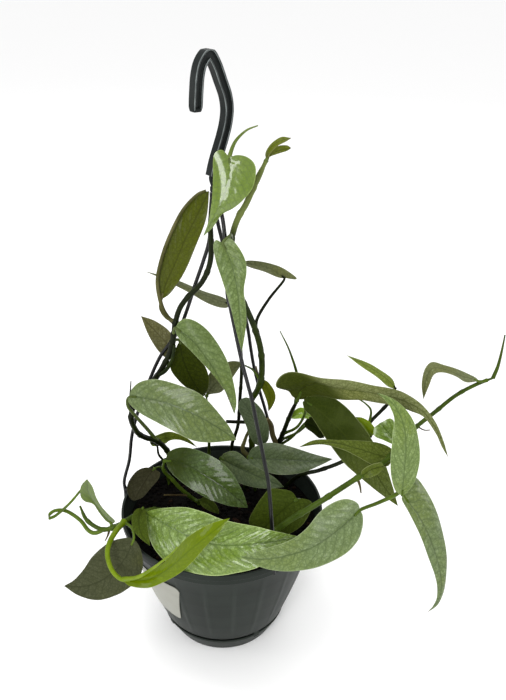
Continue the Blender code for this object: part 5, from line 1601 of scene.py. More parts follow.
@dataclass
class Saucer:
    """Saucer under the pot, with the clips that hold it."""

    bench: Bench
    pot: Pot
    base_radius: float = 52 * MM
    top_radius: float = 63.6 * MM
    height: float = 21.8 * MM
    wall: float = 1.6 * MM
    floor: float = 2 * MM
    clips: int = 4
    first_angle: float = math.radians(-57)
    clip_width: float = 6 * MM
    clip_height: float = 5 * MM

    def build(self) -> None:
        """Makes the saucer."""
        corners = [
            (0, self.floor),
            (self.base_radius - self.wall + 0.8 * MM, self.floor),
            (self.top_radius - self.wall, self.height),
            (self.top_radius, self.height),
            (self.top_radius, self.height - 1.6 * MM),
            (self.base_radius + 1.6 * MM, 0.8 * MM),
            (self.base_radius, 0),
            (0, 0),
        ]
        pieces = [self.bench.turned("saucer_dish", filleted(corners, 0.7 * MM), 180)]
        self.bench.smooth(32)
        low = self.height - self.clip_height + 3 * SEAT
        high = self.pot.step_height - SEAT
        for index in range(self.clips):
            angle = self.first_angle + 2 * math.pi * index / self.clips
            turn = Matrix.Rotation(angle, 4, "Z")
            middle = Vector((self.top_radius - self.wall / 2, 0, (low + high) / 2))
            size = Vector((self.wall * 0.7, self.clip_width, high - low))
            pieces.append(self.bench.block("saucer_clip", size, turn @ Matrix.Translation(middle), 0.3 * MM))
        finish = PlasticFinish(body=srgb(30, 35, 31), scuff_and_highlight=srgb(58, 62, 58), roughness=0.46)
        dress = finish.dress("saucer_grey")
        for piece in pieces:
            piece.data.materials.append(dress)
        whole = self.bench.join("saucer_body", pieces)
        self.bench.finish(whole, "saucer_plastic", ("saucer",))


@dataclass
class Label:
    """Bare sticker wrapped round the pot's tapered wall."""

    bench: Bench
    pot: Pot
    low: float = 55 * MM
    high: float = 117 * MM
    angles: Pair = (math.radians(192), math.radians(242))
    thickness: float = 0.5 * MM
    corner: float = 6 * MM
    lean: float = math.radians(3.4)
    tilt: float = 2 * MM
    seat: float = 0.45 * MM
    columns: int = 60
    rows: int = 40

    def build(self) -> None:
        """Makes the sticker."""
        self.bench.clear()
        bpy.ops.mesh.primitive_grid_add(x_subdivisions=self.columns, y_subdivisions=self.rows, size=2)
        made = self.bench.named("label_sheet")
        middle = (self.low + self.high) / 2
        half_height = (self.high - self.low) / 2
        half_angle = (self.angles[1] - self.angles[0]) / 2
        half_width = half_angle * self.pot.wall_radius(middle)
        rims = []
        for vert in made.data.vertices:
            x, y, _ = vert.co
            inset = max(0.0, abs(x) * half_width - (half_width - self.corner))
            reach = half_height - self.corner + math.sqrt(max(0.0, self.corner**2 - inset**2))
            height = middle + y * reach - x * self.tilt
            angle = (self.angles[0] + self.angles[1]) / 2 + x * half_angle + y * self.lean
            radius = self.pot.wall_radius(height) + self.seat + self.thickness / 2
            rims.append(max(abs(x), abs(y)) ** 24)
            vert.co = (radius * math.cos(angle), radius * math.sin(angle), height)
        self.bench.mark(made, "rim", rims)
        self.bench.close()
        if sum(face.normal.xy.dot(face.center.xy) for face in made.data.polygons) < 0:
            self.bench.edit(bpy.ops.mesh.flip_normals)
        self.bench.apply(made, "SOLIDIFY", thickness=self.thickness, offset=0.0)
        self.bench.smooth(40)
        self.bench.finish(made, "label_paper", ("pot_label",), [PaperFinish().dress("sticker_white")])


@dataclass
class Soil:
    """Potting soil: a body with an uneven top, and loose crumbs and fibres on it."""

    bench: Bench
    pot: Pot
    top: float = 128 * MM
    mound: float = 1.6 * MM
    clearance: float = 0.7 * MM
    rings: int = 72
    crumbs: int = 1100
    fibres: int = 90
    grit: float = 1.3 * MM

    def height_at(self, x: float, y: float) -> float:
        """Height of the soil's top without its grit at a place."""
        rise = 0.5 * math.sin(61 * x + 1.1) * math.cos(83 * y) + 0.4 * math.sin(137 * y - 71 * x + 0.6)
        return self.top + self.mound * rise

    def root_of(self, pixel: Pair) -> Vector:
        """Where a stem leaves the soil."""
        flat = VIEW.on_level(*pixel, self.top)
        return Vector((flat.x, flat.y, self.height_at(flat.x, flat.y)))

    def build(self) -> None:
        """Makes the soil and what lies on it."""
        radius = self.pot.inner_radius(self.top) - self.clearance
        corner = self.pot.step_height + 2 * self.pot.wall
        outline = [
            (0, self.pot.floor + SEAT),
            (self.pot.foot_radius - self.pot.wall - 2 * self.clearance, self.pot.floor + SEAT),
            (self.pot.plug_radius - self.pot.wall - self.clearance, self.pot.step_height + self.pot.wall),
            (self.pot.inner_radius(corner) - self.clearance, corner + SEAT),
            (radius, self.top),
        ]
        outline += [(radius * (1 - (i + 1) / self.rings), self.top) for i in range(self.rings)]
        body = self.bench.turned("soil_body", outline, 240)
        for vert in body.data.vertices:
            x, y, z = vert.co
            if z > self.top - 1 * MM:
                fade = min(1.0, (radius - math.hypot(x, y)) / (6 * MM))
                rough = noise.noise(Vector((x, y, 0.3)) * 330) + 0.5 * noise.noise(Vector((x, y, 0.7)) * 800)
                vert.co.z = self.top + (self.height_at(x, y) - self.top + rough * self.grit) * fade
        self.bench.mark(body, "lot", [0.0] * len(body.data.vertices))
        self.bench.smooth(70)
        finish = SoilFinish().dress("moist_soil")
        self.bench.finish(body, "potting_soil", ("soil",), [finish])
        self.bench.finish(self.loose(radius), "potting_soil", (), [finish])

    def loose(self, radius: float) -> Shape:
        """Crumbs and fibres strewn over the soil.

        Args:
            radius: How far out they lie.

        Returns:
            All of them as one piece.
        """
        self.bench.clear()
        bpy.ops.mesh.primitive_ico_sphere_add(subdivisions=2, radius=1.0)
        model = self.bench.named("soil_crumbs")
        places = np.array([vert.co for vert in model.data.vertices])
        faces = [tuple(face.vertices) for face in model.data.polygons]
        bpy.data.objects.remove(model)
        points, polygons, lots = [], [], []
        for index in range(self.crumbs + self.fibres):
            fibre = index >= self.crumbs
            reach = (radius - 3 * MM) * math.sqrt(random.random())
            angle = random.uniform(0, 2 * math.pi)
            x, y = reach * math.cos(angle), reach * math.sin(angle)
            size = random.uniform(0.7, 2.4) * MM * (1.5 if random.random() < 0.08 else 1.0)
            stretch = (random.uniform(5, 11), 0.35, 0.3) if fibre else (
                random.uniform(0.8, 1.6), random.uniform(0.7, 1.1), random.uniform(0.5, 0.9))
            size = 0.9 * MM if fibre else size
            tilt = Matrix.Rotation(random.uniform(-0.3, 0.3), 3, "Y")
            turn = Matrix.Rotation(random.uniform(0, 2 * math.pi), 3, "Z") @ tilt
            seed = Vector((index * 1.7, 0.3, 5.1))
            base = len(points)
            lot = random.random()
            for place in places:
                rough = 1 + 0.3 * noise.noise(Vector(place) * 1.6 + seed)
                local = turn @ Vector(place * np.array(stretch) * size * rough)
                points.append((x + local.x, y + local.y, self.height_at(x, y) + size * 0.3 + local.z))
                lots.append(max(lot, 0.7) if fibre else lot)
            polygons += [tuple(base + corner for corner in face) for face in faces]
        made = self.bench.add_mesh("soil_crumbs", points, [], polygons)
        self.bench.mark(made, "lot", lots)
        self.bench.smooth(50)
        return made


@dataclass
class Hanger:
    """Hook of I section with its neck and hub, and the wire strands down to the rim."""

    bench: Bench
    pot: Pot
    turn: float = math.radians(45)
    width: float = 8.6 * MM
    depth: float = 7.4 * MM
    flange: float = 1.5 * MM
    web: float = 2.8 * MM
    chamfer: float = 0.35 * MM
    segments: int = 110
    neck_radius: float = 2 * MM
    neck_root: float = 1.1 * MM
    neck_overlap: float = 2.5 * MM
    hub_radius: float = 3.9 * MM
    hub_height: float = 5 * MM
    hub_edge: float = 0.9 * MM
    hub_fillet: float = 0.5 * MM
    strand_radius: float = 1.7 * MM
    spread: float = 2.6 * MM
    drop: float = 4 * MM
    slimming: float = 0.35
    slimming_rate: float = 1.1
    patch_scale: float = 160.0
    end_wall: float = 3.4 * MM
    end_inset: float = 0.4 * MM
    end_rounding: float = 1.6 * MM
    rim_gap: float = 0.4 * MM
    arrival: float = 12 * MM
    bridge: float = 2.6 * MM
    fade: float = 0.28 * MM
    clearance: float = 0.8 * MM
    span: float = 4 * MM
    claw: float = 7 * MM
    clip_rounding: float = 0.6 * MM

    def section(self) -> list[tuple[float, float, float]]:
        """I section with each corner cut by a small chamfer.

        Returns:
            Its (across, through, edge) points, with edge 1 at the flanges' chamfers, which get rubbed plastic
            and a painted highlight.
        """
        half_width, half_depth, half_web = self.width / 2, self.depth / 2, self.web / 2
        rib = half_width - self.flange
        corners = [
            (-half_width, -half_depth, 1), (-rib, -half_depth, 1), (-rib, -half_web, 0), (rib, -half_web, 0),
            (rib, -half_depth, 1), (half_width, -half_depth, 1), (half_width, half_depth, 1),
            (rib, half_depth, 1), (rib, half_web, 0), (-rib, half_web, 0), (-rib, half_depth, 1),
            (-half_width, half_depth, 1),
        ]
        made = []
        for index, corner in enumerate(corners):
            here = Vector(corner[:2])
            back, ahead = (
                (Vector(other[:2]) - here).normalized()
                for other in (corners[index - 1], corners[(index + 1) % len(corners)])
            )
            cut, clean = self.chamfer, self.chamfer + self.fade
            for way, reach, wear_and_highlight_level in ((back, clean, 0), (back, cut, 1), (ahead, cut, 1), (ahead, clean, 0)):
                made.append((*(here + way * reach), corner[2] * wear_and_highlight_level))
        return made

    def build(self) -> None:
        """Makes the hook and the strands."""
        # The pale edge colour is a painted highlight along the hook's chamfered edges, with some rubbed
        # plastic
        finish = PlasticFinish(
            body=srgb(20, 24, 23), scuff_and_highlight=srgb(116, 122, 121), roughness=0.42, wear_and_highlight="wear_and_highlight", wear_and_highlight_share=0.95,
            cloud_share=0.04,
        )
        dress = finish.dress("hook_grey")
        route = curve_through([VIEW.on_upright(x, y, self.turn) for x, y in HOOK_LINE], self.segments)
        normal = Vector((math.sin(self.turn), -math.cos(self.turn), 0))
        low = Vector((0, 0, VIEW.on_upright(*NECK_BOTTOM, self.turn).z))
        pieces = [self.bow(route, normal), self.neck(route, low), self.hub(low), self.end(route, normal)]
        for piece in pieces:
            piece.data.materials.append(dress)
        hook = self.bench.join("hook_body", pieces)
        self.bench.finish(hook, "hook_plastic", ("hanger_hook",))
        wire = PlasticFinish(
            body=srgb(11, 12, 12), scuff_and_highlight=srgb(30, 32, 32), roughness=0.3, grain=0.05, coat=0.35,
        ).dress("strand_black")
        start = low - Vector((0, 0, self.hub_height / 2))
        for name, (angle, tail, picks) in STRANDS.items():
            self.strand(name, angle, tail * MM, picks, start, wire)

    def bow(self, route: Sequence[Vector], normal: Vector) -> Shape:
        """Sweeps the section along the hook's route.

        Args:
            route: From the tip to the neck.
            normal: Normal of the hook's plane.

        Returns:
            The bow, with its flange edges marked for rubbed plastic and a painted highlight.
        """
        section = self.section()
        count = len(section)
        points, wear_and_highlight, faces = [], [], []
        for index, point in enumerate(route):
            back, ahead = route[max(index - 1, 0)], route[min(index + 1, len(route) - 1)]
            side = (ahead - back).normalized().cross(normal).normalized()
            slim = 1 - self.slimming * math.exp(-index * self.slimming_rate)
            for u, v, wear_and_highlight_level in section:
                points.append(point + (side * u + normal * v) * slim)
                patch = 0.75 + 0.5 * noise.noise(points[-1] * self.patch_scale)
                wear_and_highlight.append(wear_and_highlight_level * max(0.0, min(1.0, patch)))
            if index:
                low = (index - 1) * count
                for a in range(count):
                    b = (a + 1) % count
                    faces.append((low + a, low + b, low + count + b, low + count + a))
        faces.append(tuple(reversed(range(count))))
        faces.append(tuple(len(route) * count - count + a for a in range(count)))
        made = self.bench.add_mesh("hook_bow", points, [], faces)
        self.bench.mark(made, "wear_and_highlight", wear_and_highlight)
        self.bench.edit(bpy.ops.mesh.normals_make_consistent, inside=False)
        self.bench.smooth(25)
        return made

    def neck(self, route: Sequence[Vector], low: Vector) -> Shape:
        """Makes the thin neck between the bow and the hub.

        Args:
            route: The hook's route.
            low: The hub's middle.

        Returns:
            The neck.
        """
        overlap = (route[-1] - route[-2]).normalized() * self.neck_overlap
        points = curve_through([route[-1] - overlap, route[-1] + overlap, low], 16)
        radii = [self.neck_root] * 3 + [self.neck_radius] * 14
        return self.bench.tube("neck", points, radii, 16)

    def hub(self, middle: Vector) -> Shape:
        """Makes the bead that the strands leave.

        Args:
            middle: Its middle.

        Returns:
            The bead.
        """
        half, wide, edge = self.hub_height / 2, self.hub_radius, self.hub_edge
        bead = [(0, -half), (wide - edge, -half), (wide, edge - half)]
        bead += [(wide, half - edge), (wide - edge, half), (0, half)]
        made = self.bench.turned("hub", [(r, middle.z + z) for r, z in filleted(bead, self.hub_fillet)], 40)
        self.bench.smooth(40)
        return made

    def end(self, route: Sequence[Vector], normal: Vector) -> Shape:
        """Makes the block that closes the hook's tip.

        Args:
            route: The hook's route.
            normal: Normal of the hook's plane.

        Returns:
            The block.
        """
        ahead = (route[2] - route[0]).normalized()
        axes = Matrix((ahead.cross(normal).normalized(), normal, ahead)).transposed().to_4x4()
        place = Matrix.Translation(route[0] + ahead * (self.end_wall / 2 - self.end_inset)) @ axes
        size = Vector((self.width - self.end_inset, self.depth - self.end_inset, self.end_wall))
        return self.bench.block("hook_end", size, place, self.end_rounding)

    def strand(
        self, name: str, angle: float, tail_length: float, picks: Sequence[Pick], hub: Vector,
        dress: Material,
    ) -> None:
        """Makes one strand with its clip over the rim and its tail.

        Args:
            name: The node that it stands for.
            angle: Where its clip sits on the rim, in degrees.
            tail_length: How far its tail hangs below the rim.
            picks: Its route in the picture.
            hub: Where the strands leave the hub.
            dress: Its material.
        """
        outward = Vector((math.cos(math.radians(angle)), math.sin(math.radians(angle)), 0))
        start = hub + outward * self.spread - Vector((0, 0, 2 * SEAT))
        below = start - Vector((0, 0, self.drop))
        outside = self.pot.rim_radius + SEAT + self.strand_radius + self.rim_gap
        over = outward * outside + Vector((0, 0, self.pot.top + self.arrival))
        beside = outward * outside + Vector((0, 0, self.pot.top - 2 * MM))
        tail = outward * (outside + 0.5 * MM) + Vector((0, 0, self.pot.top - tail_length))
        route = [start] + curve_through([below, *VIEW.points(picks), over, beside, tail], 240)
        radii = [self.strand_radius] * len(route)
        for index in range(1, 7):
            radii[-index] *= 0.55 + 0.075 * index
        pieces = [self.bench.tube(name, route, radii, 16)]
        inside = self.pot.rim_radius - self.pot.lip_wall - self.clearance - self.bridge
        reach = outside + self.bridge / 2 - inside
        turn = Matrix.Rotation(math.radians(angle), 4, "Z")
        bridge_size = Vector((reach, self.span, self.bridge))
        bridge_at = Vector((inside + reach / 2, 0, self.pot.top + SEAT + self.bridge / 2))
        claw_size = Vector((self.bridge, self.span, self.claw))
        claw_at = Vector((inside + self.bridge / 2, 0, self.pot.top + SEAT + self.bridge - self.claw / 2))
        for size, place in ((bridge_size, bridge_at), (claw_size, claw_at)):
            clip = self.bench.block("clip", size, turn @ Matrix.Translation(place), self.clip_rounding)
            pieces.append(clip)
        for piece in pieces:
            piece.data.materials.append(dress)
        whole = self.bench.join(name + "_wire", pieces)
        self.bench.finish(whole, "strand_plastic", (name,))


def between(rows: np.ndarray, index: np.ndarray) -> np.ndarray:
    """Values between the rows of a table.

    Args:
        rows: Numbers or places, evenly spaced.
        index: How far down the table each value is looked up.

    Returns:
        A number or a place for each index.
    """
    steps = range(len(rows))
    if rows.ndim == 1:
        return np.interp(index, steps, rows)
    return np.stack([np.interp(index, steps, column) for column in rows[:, :3].T], axis=1)


@dataclass
class BladeMaker:
    """Makes a blade as a fine sheet with its veins in relief, and gives it its thickness."""

    bench: Bench
    materials: dict[Tone, Material]
    fine: int = 400
    spacing: float = 1.15 * MM
    thickness: float = 0.45 * MM
    vein_share: float = 1 / 11
    vein_gaps: Pair = (5.5 * MM, 11 * MM)
    rib_depth: float = 0.5 * MM
    vein_depth: float = 0.22 * MM
    pucker: float = 0.42 * MM
    waviness: float = 0.7 * MM
    wave_length: float = 7 * MM
    sway: float = 0.9 * MM
    sway_length: float = 19 * MM
    full_relief_width: float = 14 * MM
    groove_width: float = 1.3 * MM
    lump_length: float = 1.7 * MM
    camber: float = 0.07

    def frame_of(self, leaf: Leaf, count: int) -> tuple[np.ndarray, list[np.ndarray], list[np.ndarray]]:
        """Points along the rib, and for each side the edge's pixels and their distance from the rib.

        Args:
            leaf: The leaf.
            count: Steps along it.

        Returns:
            The rib's points, the edges' pixels and their spreads.
        """
        rib = np.array(curve_through(VIEW.points(leaf.rib), count))
        middle = np.array(curve_through([Vector((x, y, 0)) for x, y, _ in leaf.rib], count))
        paths, spreads = [], []
        for side in (leaf.left, leaf.right):
            ends = [leaf.rib[0][:2], *side, leaf.rib[-1][:2]]
            path = np.array(curve_through([Vector((x, y, 0)) for x, y in ends], count))
            paths.append(path)
            spreads.append(np.linalg.norm(path - middle, axis=1))
        return rib, paths, spreads

    def spread_out(
        self, leaf: Leaf, index: np.ndarray, across: np.ndarray
    ) -> tuple[np.ndarray, np.ndarray]:
        """Lays the sheet's points between the rib and the edges.

        Args:
            leaf: The leaf.
            index: Place of each point along the blade, in fine steps.
            across: Its place across from -1 to 1.

        Returns:
            The points, and their distance from the rib, which is negative on the left.
        """
        rib, paths, spreads = self.frame_of(leaf, self.fine)
        place = between(rib, index)
        forward = np.array(VIEW.line(*VIEW.middle))
        eye = np.array(VIEW.place)
        up = np.array(VIEW.line(VIEW.middle[0], VIEW.middle[1] - VIEW.focal)) - forward
        right = np.array((1.0, 0.0, 0.0))
        depth = (place - eye) @ forward
        points = place.copy()
        reach = np.zeros(len(points))
        share = np.abs(across)[:, None]
        for path, spread, rise, on_side in zip(paths, spreads, leaf.rise, (across <= 0, across > 0)):
            pixels = between(path, index)
            stand = rise * MM * between(spread, index) / max(spread)
            line = forward + np.outer((pixels[:, 0] - VIEW.middle[0]) / VIEW.focal, right)
            line = line + np.outer((VIEW.middle[1] - pixels[:, 1]) / VIEW.focal, up)
            edge = eye + line * (depth - stand)[:, None]
            points[on_side] = (place + (edge - place) * share)[on_side]
            reach[on_side] = (np.linalg.norm(edge - place, axis=1) * across)[on_side]
        return points, reach

    def build(self, leaf: Leaf) -> Shape:
        """Makes the blade.

        Args:
            leaf: The leaf.

        Returns:
            The blade, dressed on both sides.
        """
        rib, _, spreads = self.frame_of(leaf, self.fine)
        length = length_of([Vector(point) for point in rib])
        distance = float(np.mean([(Vector(point) - VIEW.place).length for point in rib]))
        wide = max(max(spread) for spread in spreads) * distance / VIEW.focal
        rows = max(10, round(length * 1.1 / self.spacing))
        halves = max(5, round(wide / self.spacing))
        self.bench.clear()
        bpy.ops.mesh.primitive_grid_add(x_subdivisions=rows, y_subdivisions=2 * halves, size=2)
        made = self.bench.named("blade_" + leaf.name)
        mesh = made.data
        flat = self.bench.read(mesh).astype(float)
        across = flat[:, 1]
        even = (flat[:, 0] + 1) / 2
        along = 0.6 * even + 0.4 * (0.5 - 0.5 * np.cos(np.pi * even))
        points, reach = self.spread_out(leaf, along * self.fine, across)
        half = np.maximum(np.abs(reach) / np.maximum(np.abs(across), 1e-6), 1e-5)
        steep = min(max(length / (4 * wide), 1.0), 1.9)
        ahead = half * (0.75 * np.abs(across) + 0.35 * across**2) * steep
        gap_length = min(max(length * self.vein_share, self.vein_gaps[0]), self.vein_gaps[1])
        phase = (along * length - ahead) / gap_length
        self.bench.write(mesh, points)
        self.face_viewer(made)
        normals = self.bench.read(mesh, "normal")
        top = -1.0 if leaf.tone.value.endswith("back") else 1.0
        lot = random.random()
        lift = self.relief(along, across, reach, half, phase, length, lot) * top
        lift *= LEAF_FINISHES[leaf.tone].pucker
        self.bench.write(mesh, points + normals * lift[:, None])
        leaf_map = np.stack([across, phase, reach / MM], axis=1)
        # The last column of leaf_tint is a brightness that is partly painted light and shade
        leaf_tint = np.stack([along, np.full(len(along), lot), np.full(len(along), leaf.gain)], axis=1)
        self.bench.mark(made, "leaf_map", leaf_map)
        self.bench.mark(made, "leaf_tint", leaf_tint)
        self.bench.edit(bpy.ops.mesh.remove_doubles, threshold=2 * DOUBLES)
        for tone in (leaf.tone, LEAF_FINISHES[leaf.tone].other_side):
            mesh.materials.append(self.materials[tone])
        self.bench.apply(made, "SOLIDIFY", thickness=self.thickness, offset=0.0, material_offset=1)
        self.bench.smooth(60)
        return made

    def face_viewer(self, made: Shape) -> None:
        """Turns the sheet's faces to the viewer.

        Args:
            made: The sheet, selected and active.
        """
        facing = sum(face.area * face.normal.dot(VIEW.place - face.center) for face in made.data.polygons)
        if facing < 0:
            self.bench.edit(bpy.ops.mesh.flip_normals)

    def relief(
        self, along: np.ndarray, across: np.ndarray, reach: np.ndarray, half: np.ndarray,
        phase: np.ndarray, length: float, lot: float,
    ) -> np.ndarray:
        """Height of the blade's top side over the plain sheet.

        Args:
            along: Place along from 0 to 1.
            across: Place across from -1 to 1.
            reach: Distance from the rib.
            half: Half width there.
            phase: Phase of the side veins.
            length: Length of the rib.
            lot: The leaf's own lot from 0 to 1.

        Returns:
            The height at each vertex.
        """
        ends = np.clip(np.minimum(along, 1 - along) * 8, 0, 1)
        size = np.clip(half / self.full_relief_width, 0.15, 1.0)
        groove = -self.rib_depth * np.exp(-((reach / self.groove_width) ** 2))
        staggered = phase + np.where(across > 0, VEIN_STAGGER, 0.0)
        side = abs(staggered % 1.0 - 0.5) * 2
        inward = np.clip(1 - np.abs(across), 0, 1)
        sunk = -self.vein_depth * np.exp(-(((1 - side) / 0.16) ** 2)) * np.clip(inward * 3, 0, 1)
        cell = np.floor(staggered) + np.where(across > 0, 50, 0)
        own = 0.5 + 0.5 * np.sin(cell * 12.9898 + lot * 78.2)
        lumpy = (0.3 + own) * (0.6 + 0.4 * np.sin(np.abs(reach) / self.lump_length + 6 * own + 9 * lot))
        quilt = self.pucker * np.sin(np.pi * (1 - side) / 2) * lumpy * np.clip(inward * 4, 0, 1)
        bulge = self.camber * half * 4 * np.abs(across) * inward
        wave = self.waviness * across**4 * np.sin(along * length / self.wave_length + 9 * lot + across)
        sway = self.sway * np.abs(across) * np.sin(along * length / self.sway_length + 5 * lot - across * 2)
        return ends * size * (groove + sunk + quilt + bulge + wave + sway)


@dataclass
class Foliage:
    """All leafy stems: stems, stalks, sheaths, shoots and blades."""

    bench: Bench
    soil: Soil
    leaf_materials: dict[Tone, Material]
    stem_materials: dict[StemTone, Material]
    sides: int = 12
    step: float = 1.6 * MM
    taper: float = 0.3
    foot_swelling: float = 1.35
    joining: float = 5 * MM
    buried: float = 5 * MM
    node_swelling: float = 0.17
    node_length: float = 2.6 * MM
    waist: float = 0.1
    waist_gap: float = 3.4 * MM
    waist_length: float = 0.9 * MM
    tip_taper: float = 0.45
    tip_length: float = 8 * MM
    first_node: float = 12 * MM
    bare_gap: float = 34 * MM

    def build(self) -> None:
        """Makes every stem with its leaves."""
        maker = BladeMaker(self.bench, self.leaf_materials)
        for stem in LEAFY_STEMS:
            for leaf in stem.leaves:
                self.bench.finish(maker.build(leaf), LEAF_FINISHES[leaf.tone].slot, (stem.node,))
            self.build_stem(stem)

    def stem_route(self, stem: LeafyStem) -> list[Vector]:
        """Fine route of a stem.

        Args:
            stem: The stem.

        Returns:
            Its points from just under the soil to the tip.
        """
        root = self.soil.root_of(stem.route[0])
        low = root - Vector((0, 0, self.buried))
        above = root + Vector((0, 0, 3 * MM))
        picks = VIEW.points(stem.route[1:])
        count = round(length_of([root, above, *picks]) / self.step)
        return [low, root] + curve_through([above, *picks], count)

    def from_stem(self, points: list[Vector], route: list[Vector]) -> list[Vector]:
        """The points, with a first one that is near the stem moved onto it."""
        joint = nearest_on(route, points[0])
        return points if (joint - points[0]).length > self.joining else [joint, *points[1:]]

    def build_stem(self, stem: LeafyStem) -> None:
        """Makes a stem with its stalks, sheaths and shoots as one piece.

        Args:
            stem: The stem.
        """
        route = self.stem_route(stem)
        joints, pieces = [], []
        for leaf in stem.leaves:
            points = self.stalk_points(leaf, route)
            joints.append(points[0])
            radii = (leaf.stalk_radius, leaf.stalk_radius * (1 - self.taper))
            tone = leaf.stalk_tone or stem.stalk_tone
            pieces.append(self.tapered(leaf.name + "_stalk", points, radii, tone, self.foot_swelling))
        for shoot in stem.shoots:
            points = self.from_stem(VIEW.points(shoot.route), route)
            joints.append(points[0])
            pieces.append(self.tapered(shoot.name, points, shoot.radii, shoot.tone))
        places = np.array(route)
        lengths = np.concatenate([[0.0], np.cumsum(np.linalg.norm(np.diff(places, axis=0), axis=1))])
        share = lengths / lengths[-1]
        radii = (stem.radii[0] + (stem.radii[1] - stem.radii[0]) * share) * MM
        rings = [lengths[np.argmin(np.linalg.norm(places - np.array(joint), axis=1))] for joint in joints]
        rings += self.bare_nodes(lengths[-1], rings)
        for ring in rings:
            gap = lengths - ring
            radii *= 1 + self.node_swelling * np.exp(-((gap / self.node_length) ** 2))
            radii *= 1 - self.waist * np.exp(-(((gap - self.waist_gap) / self.waist_length) ** 2))
        radii *= 1 - self.tip_taper * np.exp(-(((lengths[-1] - lengths) / self.tip_length) ** 2))
        body = self.bench.tube(stem.node + "_stem", route, list(radii), self.sides)
        body.data.materials.append(self.stem_materials[stem.tone])
        whole = self.bench.join("stem_" + stem.node, [body, *pieces])
        self.bench.finish(whole, "stem_green", (stem.node,))

    def bare_nodes(self, length: float, rings: list[float]) -> list[float]:
        """Places of the leafless joints between the others.

        Args:
            length: Length of the stem.
            rings: Places of the joints that carry something.

        Returns:
            A place in each long gap.
        """
        marks = sorted([self.first_node, *rings, length])
        places = []
        for low, high in zip(marks, marks[1:]):
            count = int((high - low) / self.bare_gap)
            places += [low + (high - low) * (i + 1) / (count + 1) for i in range(count)]
        return places

    def stalk_points(self, leaf: Leaf, route: list[Vector]) -> list[Vector]:
        """Route of a leaf's stalk.

        Args:
            leaf: The leaf.
            route: The stem's route.

        Returns:
            Its points, from the stem and on along the first part of the rib.
        """
        rib = curve_through(VIEW.points(leaf.rib), 60)
        if leaf.stalk:
            points = self.from_stem(VIEW.points(leaf.stalk), route)
        else:
            joint = nearest_on(route, rib[0])
            points = [joint] if (joint - rib[0]).length < self.joining else [joint, rib[0]]
        return [*points, rib[4]]

    def tapered(
        self, name: str, points: list[Vector], radii: Pair, tone: StemTone, swell: float = 1.0
    ) -> Shape:
        """Tapered tube, swollen at its foot.

        Args:
            name: Its name.
            points: What it passes through.
            radii: At its foot and at its end, in mm.
            tone: Its surface.
            swell: How many times thicker its foot is.

        Returns:
            The tube.
        """
        count = max(6, round(length_of(points) / self.step))
        route = curve_through(points, count)
        thick, thin = radii
        sizes = []
        for index in range(count + 1):
            share = index / count
            foot = 1 + (swell - 1) * math.exp(-((share * count * self.step / (3 * MM)) ** 2))
            sizes.append((thick + (thin - thick) * share) * MM * foot)
        made = self.bench.tube(name, route, sizes, 10)
        made.data.materials.append(self.stem_materials[tone])
        return made


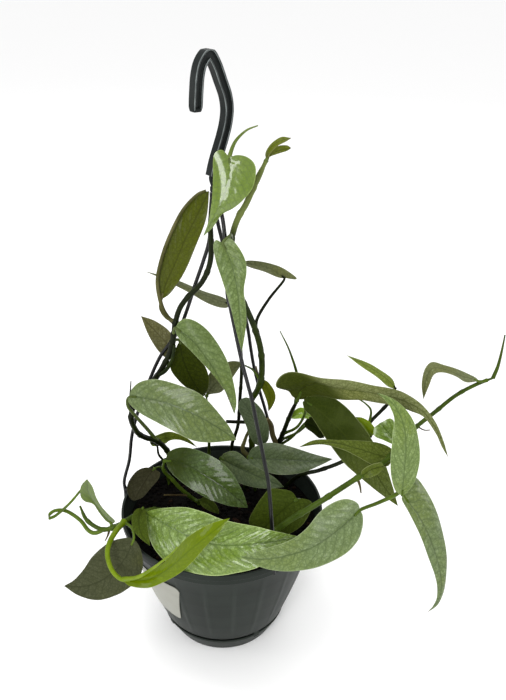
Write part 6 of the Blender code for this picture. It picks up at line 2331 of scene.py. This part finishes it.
@dataclass
class Studio:
    """Plain pale floor, soft panels and the camera at the picture's viewpoint."""

    backdrop: Colour = srgb(251, 251, 251)
    horizon: float = 0.58
    zenith: float = 1.2

    def build(self) -> None:
        """Makes the floor, the lights and the camera."""
        Bench.clear()
        bpy.ops.mesh.primitive_plane_add(size=40.0)
        floor = bpy.context.view_layer.objects.active
        floor.name = "floor"
        graph = Graph("pale_floor")
        cloud = graph.noise(graph.place(), 3.0, 2.0)
        colour = graph.mix(cloud * 0.1, self.backdrop, srgb(248, 248, 248))
        graph.set(Base_Color=colour, Roughness=0.9)
        floor.data.materials.append(graph.material)
        floor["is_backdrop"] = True
        self.room()
        self.panel("window", (-0.45, -1.4, 0.88), (0.0, 0.0, 0.35), (0.5, 1.15), 16.0)
        self.panel("overhead", (-0.2, 0.1, 1.5), (0.0, 0.0, 0.3), (0.5, 0.4), 4.0)
        self.panel("behind", (0.35, 1.5, 1.3), (0.0, 0.0, 0.25), (1.2, 0.5), 4.0)
        self.panel("left", (-1.6, -0.15, 0.6), (0.0, -0.05, 0.2), (0.5, 0.5), 4.0)
        self.panel("right", (1.5, -0.45, 0.45), (0.05, -0.05, 0.2), (0.5, 0.5), 4.0)
        bpy.context.scene.view_settings.view_transform = "Standard"
        self.camera()

    def room(self) -> None:
        """Soft light from all round, brighter from above than from the side."""
        world = bpy.data.worlds.new("soft_room")
        world.use_nodes = True
        nodes, links = world.node_tree.nodes, world.node_tree.links
        direction = nodes.new("ShaderNodeTexCoord")
        parts = nodes.new("ShaderNodeSeparateXYZ")
        level = nodes.new("ShaderNodeMapRange")
        level.inputs["To Min"].default_value = self.horizon
        level.inputs["To Max"].default_value = self.zenith
        links.new(direction.outputs["Generated"], parts.inputs[0])
        links.new(parts.outputs["Z"], level.inputs["Value"])
        links.new(level.outputs["Result"], nodes["Background"].inputs["Strength"])
        nodes["Background"].inputs["Color"].default_value = (1.0, 1.0, 1.0, 1.0)
        bpy.context.scene.world = world

    @staticmethod
    def panel(
        name: str, place: tuple[float, float, float], target: tuple[float, float, float],
        size: Pair, power: float,
    ) -> None:
        """Adds a soft light panel.

        Args:
            name: Its name.
            place: Where it hangs.
            target: What it faces.
            size: Its two sides.
            power: In watts.
        """
        data = bpy.data.lights.new(name, "AREA")
        data.shape = "RECTANGLE"
        data.size, data.size_y = size
        data.energy = power
        light = bpy.data.objects.new(name, data)
        light.location = place
        aim = Vector(target) - Vector(place)
        light.rotation_euler = aim.to_track_quat("-Z", "Y").to_euler()
        bpy.context.scene.collection.objects.link(light)

    @staticmethod
    def camera() -> None:
        """Adds the camera."""
        data = bpy.data.cameras.new("picture_camera")
        data.sensor_fit = "HORIZONTAL"
        data.sensor_width = 36.0
        data.lens = VIEW.focal * data.sensor_width / VIEW.width
        data.clip_start = 0.01
        made = bpy.data.objects.new("picture_camera", data)
        made.location = VIEW.place
        made.rotation_euler = (math.pi / 2 - VIEW.pitch, 0.0, 0.0)
        bpy.context.scene.collection.objects.link(made)
        bpy.context.scene.camera = made


def main() -> None:
    """Builds every piece in order."""
    logging.basicConfig(level=logging.INFO, format="%(message)s")
    random.seed(41)
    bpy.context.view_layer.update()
    bench = Bench()
    pot = Pot(bench)
    pot.build()
    Saucer(bench, pot).build()
    Label(bench, pot).build()
    soil = Soil(bench, pot)
    soil.build()
    Hanger(bench, pot).build()
    leaf_materials = {tone: finish.dress("leaf_" + tone.value) for tone, finish in LEAF_FINISHES.items()}
    stem_materials = {tone: finish.dress("stem_" + tone.value) for tone, finish in STEM_FINISHES.items()}
    Foliage(bench, soil, leaf_materials, stem_materials).build()
    Studio().build()
    bpy.context.view_layer.update()


if __name__ == "__main__":
    main()
